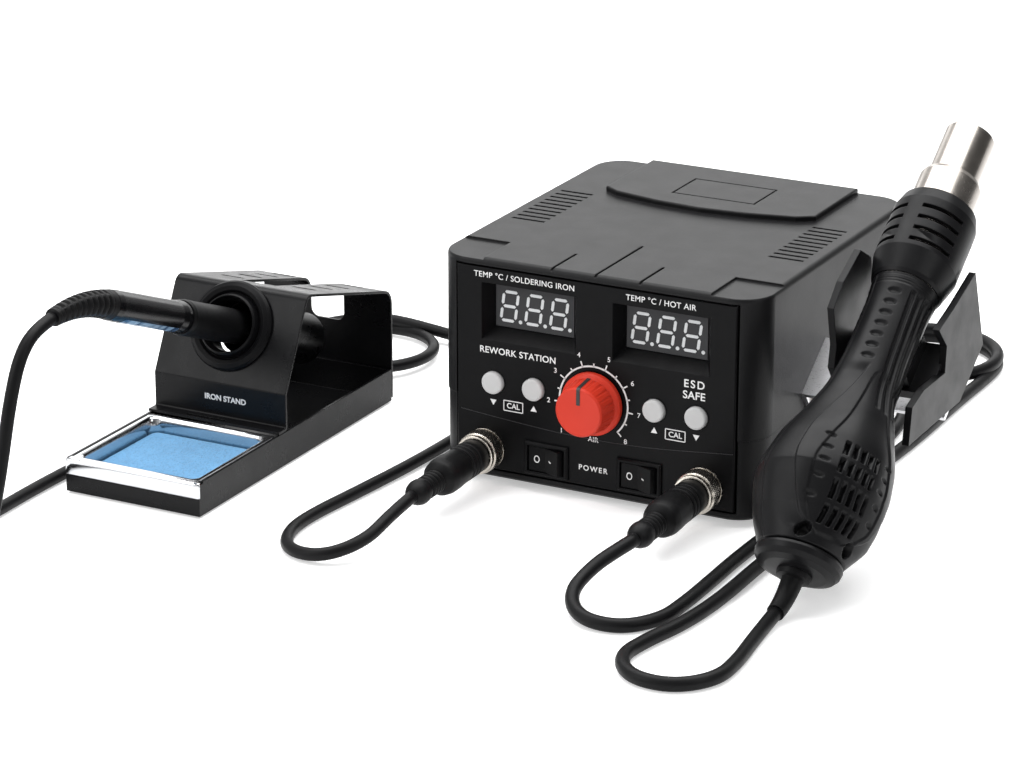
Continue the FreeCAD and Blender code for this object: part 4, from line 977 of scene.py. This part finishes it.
def arc_line(start, tilt, end_tilt, length, shares):
    """Points and upright directions along an arc in the YZ plane that leans over as it goes."""
    radius = length / (tilt - end_tilt)
    tilts = tilt - (tilt - end_tilt) * shares
    ys = start[1] - radius * (np.sin(tilt) - np.sin(tilts))
    zs = start[2] + radius * (np.cos(tilts) - np.cos(tilt))
    points = np.stack([np.full_like(ys, start[0]), ys, zs], 1)
    upright = np.stack([0 * tilts, np.sin(tilts), np.cos(tilts)], 1)
    return points, upright


def make_iron_boot():
    """Ribbed rubber sleeve, thinner towards the cord."""
    shares = np.linspace(0.0, 1.0, 200)
    start = IRON_POINT + IRON_AXIS * BOOT_START
    points, upright = arc_line(start, IRON_TILT, IRON_TILT - BOOT_TURN, BOOT_LENGTH, shares)
    outer = BOOT_START_R + (BOOT_END_R - BOOT_START_R) * shares
    wave = smoothstep(0.5 + 1.4 * np.sin(shares * 2 * math.pi * BOOT_RIBS))
    ribs = smoothstep((shares - 0.08) / 0.03) * smoothstep((0.97 - shares) / 0.03)
    turn = np.linspace(0.0, 2 * math.pi, 64, endpoint=False)
    bridges = np.abs(np.sin(turn * 2.0)) ** 6
    depth = (1.1 * (1.0 - wave) * ribs)[:, None] * (1.0 - bridges[None, :])
    radius = outer[:, None] - depth
    sideways = (radius * np.cos(turn))[:, :, None] * np.array((1.0, 0.0, 0.0))
    upwards = (radius * np.sin(turn))[:, :, None] * upright[:, None, :]
    piece = grid_piece("iron_strain_relief", points[:, None, :] + sideways + upwards,
                       MATERIALS["rubber_black"], ends=True)
    finish_piece(piece, "iron", "rubber_black", "iron_boot")


STICKER_R = 6.96


def make_iron_sticker():
    """Pale label without lettering, wrapped round the lower side of the handle."""
    along = np.linspace(46.0, 90.0, 30)
    turn = np.radians(np.linspace(-88.0, -44.0, 16))
    upright = np.array((0.0, math.sin(IRON_TILT), math.cos(IRON_TILT)))
    rows = []
    for s_here in along:
        centre = IRON_POINT + IRON_AXIS * s_here
        rows.append([centre + STICKER_R * (np.array((math.cos(a), 0.0, 0.0)) + upright * math.sin(a))
                     for a in turn])
    piece = grid_piece("iron_label", np.array(rows), STICKER, wrap=False)
    finish_piece(piece, "iron", "handle_gloss")


# ---- sponge tray ----------------------------------------------------------------------
STAND_X = -173.3
STAND_W = 68.0
STAND_FRONT = -95.4
STAND_RIM = 16.2
SHEET = 1.2
TRAY_BACK = -30.2
TRAY_DEPTH = 11.0
TRAY_PLAY = 0.35
TRAY_HALF_W = 0.5 * STAND_W - SHEET - TRAY_PLAY
TRAY_FRONT = STAND_FRONT + SHEET + TRAY_PLAY
ROLL_R = 0.9


def rounded_loop(inset, z, radius, corner_steps=8):
    """Rounded rectangle inside the tray's outline, as points in drawing millimetres."""
    points = []
    left = STAND_X - TRAY_HALF_W + inset + radius
    right = STAND_X + TRAY_HALF_W - inset - radius
    front = TRAY_FRONT + inset + radius
    back = TRAY_BACK - inset - radius
    corners = ((right, back, 0.0), (left, back, 90.0), (left, front, 180.0), (right, front, 270.0))
    for cx, cy, start in corners:
        for i in range(corner_steps + 1):
            angle = math.radians(start + 90.0 * i / corner_steps)
            points.append((cx + radius * math.cos(angle), cy + radius * math.sin(angle), z))
    return points


def make_tray():
    """Pressed chrome tray: rolled rim, steep rounded walls, flat floor, front apron."""
    top = STAND_RIM
    low = STAND_RIM - TRAY_DEPTH
    section = [(0.0, top - 0.9, 0.6), (0.0, top - 0.35, 0.7), (0.25, top - 0.08, 0.9), (0.7, top, 1.2),
               (1.6, top - 0.02, 2.4), (2.4, top - 0.22, 3.6), (2.9, top - 0.8, 4.6), (3.15, top - 1.8, 5.0),
               (3.3, top - 5.0, 5.2), (3.5, low + 3.0, 5.2), (3.9, low + 1.7, 4.8), (4.6, low + 1.05, 4.0),
               (5.6, low + 0.82, 3.2), (7.0, low + 0.8, 2.4)]
    rows = [rounded_loop(inset, z, radius) for inset, z, radius in section]
    under = [(6.0, low, 2.6), (4.2, low + 0.2, 3.8), (3.0, low + 1.2, 4.8), (2.5, low + 3.0, 5.4),
             (2.4, top - 0.9, 5.4)]
    rows += [rounded_loop(inset, z, radius) for inset, z, radius in under]
    points = np.array(rows)
    piece = grid_piece("tray_bowl", np.concatenate([points, points[:1]]), MATERIALS["chrome"])
    floor_loop = [at(*p) for p in rounded_loop(*section[-1])]
    base_loop = [at(*p) for p in rounded_loop(*under[0])]
    work = bmesh.new()
    work.from_mesh(piece.data)
    work.faces.new([work.verts.new(p) for p in floor_loop])
    work.faces.new([work.verts.new(p) for p in reversed(base_loop)])
    bmesh.ops.remove_doubles(work, verts=work.verts, dist=1e-6)
    bmesh.ops.recalc_face_normals(work, faces=work.faces)
    work.to_mesh(piece.data)
    work.free()
    shade_by_angle(piece, 40.0)
    finish_piece(piece, "sponge_tray", "chrome", "sponge_tray")
    make_apron()


def make_apron():
    """Front of the tray, bent down over the stand's front wall."""
    half = 0.5 * STAND_W
    y = STAND_FRONT
    section = [(y + 3.4, 16.15), (y + 1.2, 16.15), (y + 0.3, 16.1), (y - 0.25, 15.85), (y - 0.55, 15.3),
               (y - 0.6, 14.5), (y - 0.6, 9.4), (y - 0.5, 9.2), (y + 0.2, 9.2), (y + 0.2, 15.2),
               (y + 3.4, 15.3)]
    columns = ([-half, -half + 0.25, -half + ROLL_R] + list(np.linspace(-half + 3, half - 3, 9))
               + [half - ROLL_R, half - 0.25, half])
    grid = []
    for x in columns:
        edge = max(0.0, abs(x) - (half - ROLL_R))
        pull = ROLL_R - math.sqrt(max(0.0, ROLL_R ** 2 - edge * edge)) if edge > 0 else 0.0
        grid.append([(STAND_X + x, yy + (pull if yy < y + 1.0 else 0.0), zz) for yy, zz in section])
    piece = grid_piece("tray_apron", np.array(grid), MATERIALS["chrome"], ends=True)
    shade_by_angle(piece, 50.0)
    finish_piece(piece, "sponge_tray", "chrome")


def make_sponge():
    """Compressed cellulose sponge: cut edges, slightly domed, with open pores."""
    low = STAND_RIM - TRAY_DEPTH + 0.85
    high = low + 3.9
    rows = []
    for inset, z, radius in ((5.4, low, 3.2), (5.0, low + 0.3, 3.6), (4.9, low + 1.0, 3.8),
                             (4.9, high - 1.0, 3.8), (5.0, high - 0.35, 3.6), (5.4, high, 3.2)):
        rows.append(rounded_loop(inset, z, radius, 10))
    loop = np.array(rows[-1])
    middle = loop.mean(axis=0)
    for share in np.linspace(0.97, 0.03, 40):
        ring = middle + (loop - middle) * share
        ring[:, 2] = high + 0.15 * (1.0 - share ** 2)
        rows.append(ring.tolist())
    piece = grid_piece("wet_sponge", np.array(rows), MATERIALS["sponge_blue"], ends=True)
    pits = bpy.data.textures.new("sponge_pits", "CLOUDS")
    pits.noise_scale = 0.0022
    press = piece.modifiers.new("pits", "DISPLACE")
    press.texture = pits
    press.strength = 0.00035
    press.mid_level = 0.8
    finish_piece(piece, "sponge", "sponge_blue", "sponge")


# ---- plugs ----------------------------------------------------------------------------
SOCKET_X = 51.9
SOCKET_Z = 16.2
PLUG_FRONT_Y = -66.5
PLUG_LENGTH = 64.0
PLUG_ROUNDING = 0.35


def smooth_profile(points):
    """Profile of a turned piece with its corners rounded."""
    out = [points[0]]
    for before, corner, after in zip(points, points[1:], points[2:]):
        corner_v = Vector(corner)
        for end in (Vector(before), Vector(after)):
            reach = min(PLUG_ROUNDING, 0.45 * (end - corner_v).length)
            if reach > 0:
                out.append(tuple(corner_v + (end - corner_v).normalized() * reach))
    out.append(points[-1])
    return out


def make_plugs():
    """Rubber plug bodies with grip ribs, a waist and a ribbed neck for the cord."""
    for side, x in (("iron", -SOCKET_X), ("gun", SOCKET_X)):
        profile = [(0.0, 5.6), (8.7, 5.6), (8.7, 7.5), (14.0, 7.8)]
        for i in range(3):
            along = 16.0 + 3.1 * i
            profile += [(along, 7.85), (along + 0.2, 6.9), (along + 1.0, 6.9), (along + 1.2, 7.85)]
        profile += [(27.0, 7.9), (31.5, 8.25), (36.5, 8.35), (40.5, 7.6), (42.6, 5.4), (43.0, 4.1)]
        for i in range(4):
            along = 43.6 + 2.6 * i
            profile += [(along, 4.1), (along + 0.35, 5.15), (along + 1.5, 5.15), (along + 1.85, 4.1)]
        profile += [(54.2, 4.7), (56.0, 5.45), (58.6, 5.6), (61.2, 4.95), (63.2, 3.7), (PLUG_LENGTH, 2.85)]
        plug = turned_piece(side + "_plug_body", at(x, PLUG_FRONT_Y + PLUG_LENGTH, SOCKET_Z), (0, -1, 0),
                            smooth_profile(profile), MATERIALS["rubber_black"])
        shade_by_angle(plug, 45.0)
        finish_piece(plug, "station", "rubber_black", side + "_plug")
        make_knurled_ring(side, x)


KNURL_POINTS = 288
KNURL_RIDGES = 54
RING_BACK_Y = -1.75


def make_knurled_ring(side, x):
    """Threaded ring: fine diamond knurl round it, smooth bright step at its open end."""
    along = [0.0, 0.0, 0.5, 1.2] + list(np.linspace(1.5, 6.4, 22)) + [6.7, 7.1, 7.1, 9.3, 9.4, 9.4]
    radii = [7.6, 8.7, 9.2, 9.35] + [9.38] * 22 + [9.3, 8.9, 8.75, 8.75, 8.6, 7.6]
    turn = np.linspace(0.0, 2 * math.pi, KNURL_POINTS, endpoint=False)
    rows = []
    for distance, radius in zip(along, radii):
        shape = np.full(KNURL_POINTS, radius)
        if 1.4 < distance < 6.5:
            first = np.sin(turn * KNURL_RIDGES + distance * 3.6)
            second = np.sin(turn * KNURL_RIDGES - distance * 3.6)
            shape = radius - 0.22 * smoothstep(1.0 - np.minimum(1.0 - first, 1.0 - second) * 0.5 - 0.35)
        rows.append(np.stack([x + shape * np.cos(turn), np.full(KNURL_POINTS, RING_BACK_Y - distance),
                              SOCKET_Z + shape * np.sin(turn)], 1))
    rows.append(rows[0])
    ring = grid_piece(side + "_knurled_ring", np.array(rows), MATERIALS["nickel"])
    shade_by_angle(ring, 45.0)
    finish_piece(ring, side + "_plug_ring", "nickel", side + "_plug_ring")


# ---- build ----------------------------------------------------------------------------
dress_cad_nodes()
make_camera()
make_stage()
make_cords()
make_front()
make_gun_handle()
make_iron_boot()
make_iron_sticker()
make_tray()
make_sponge()
make_plugs()
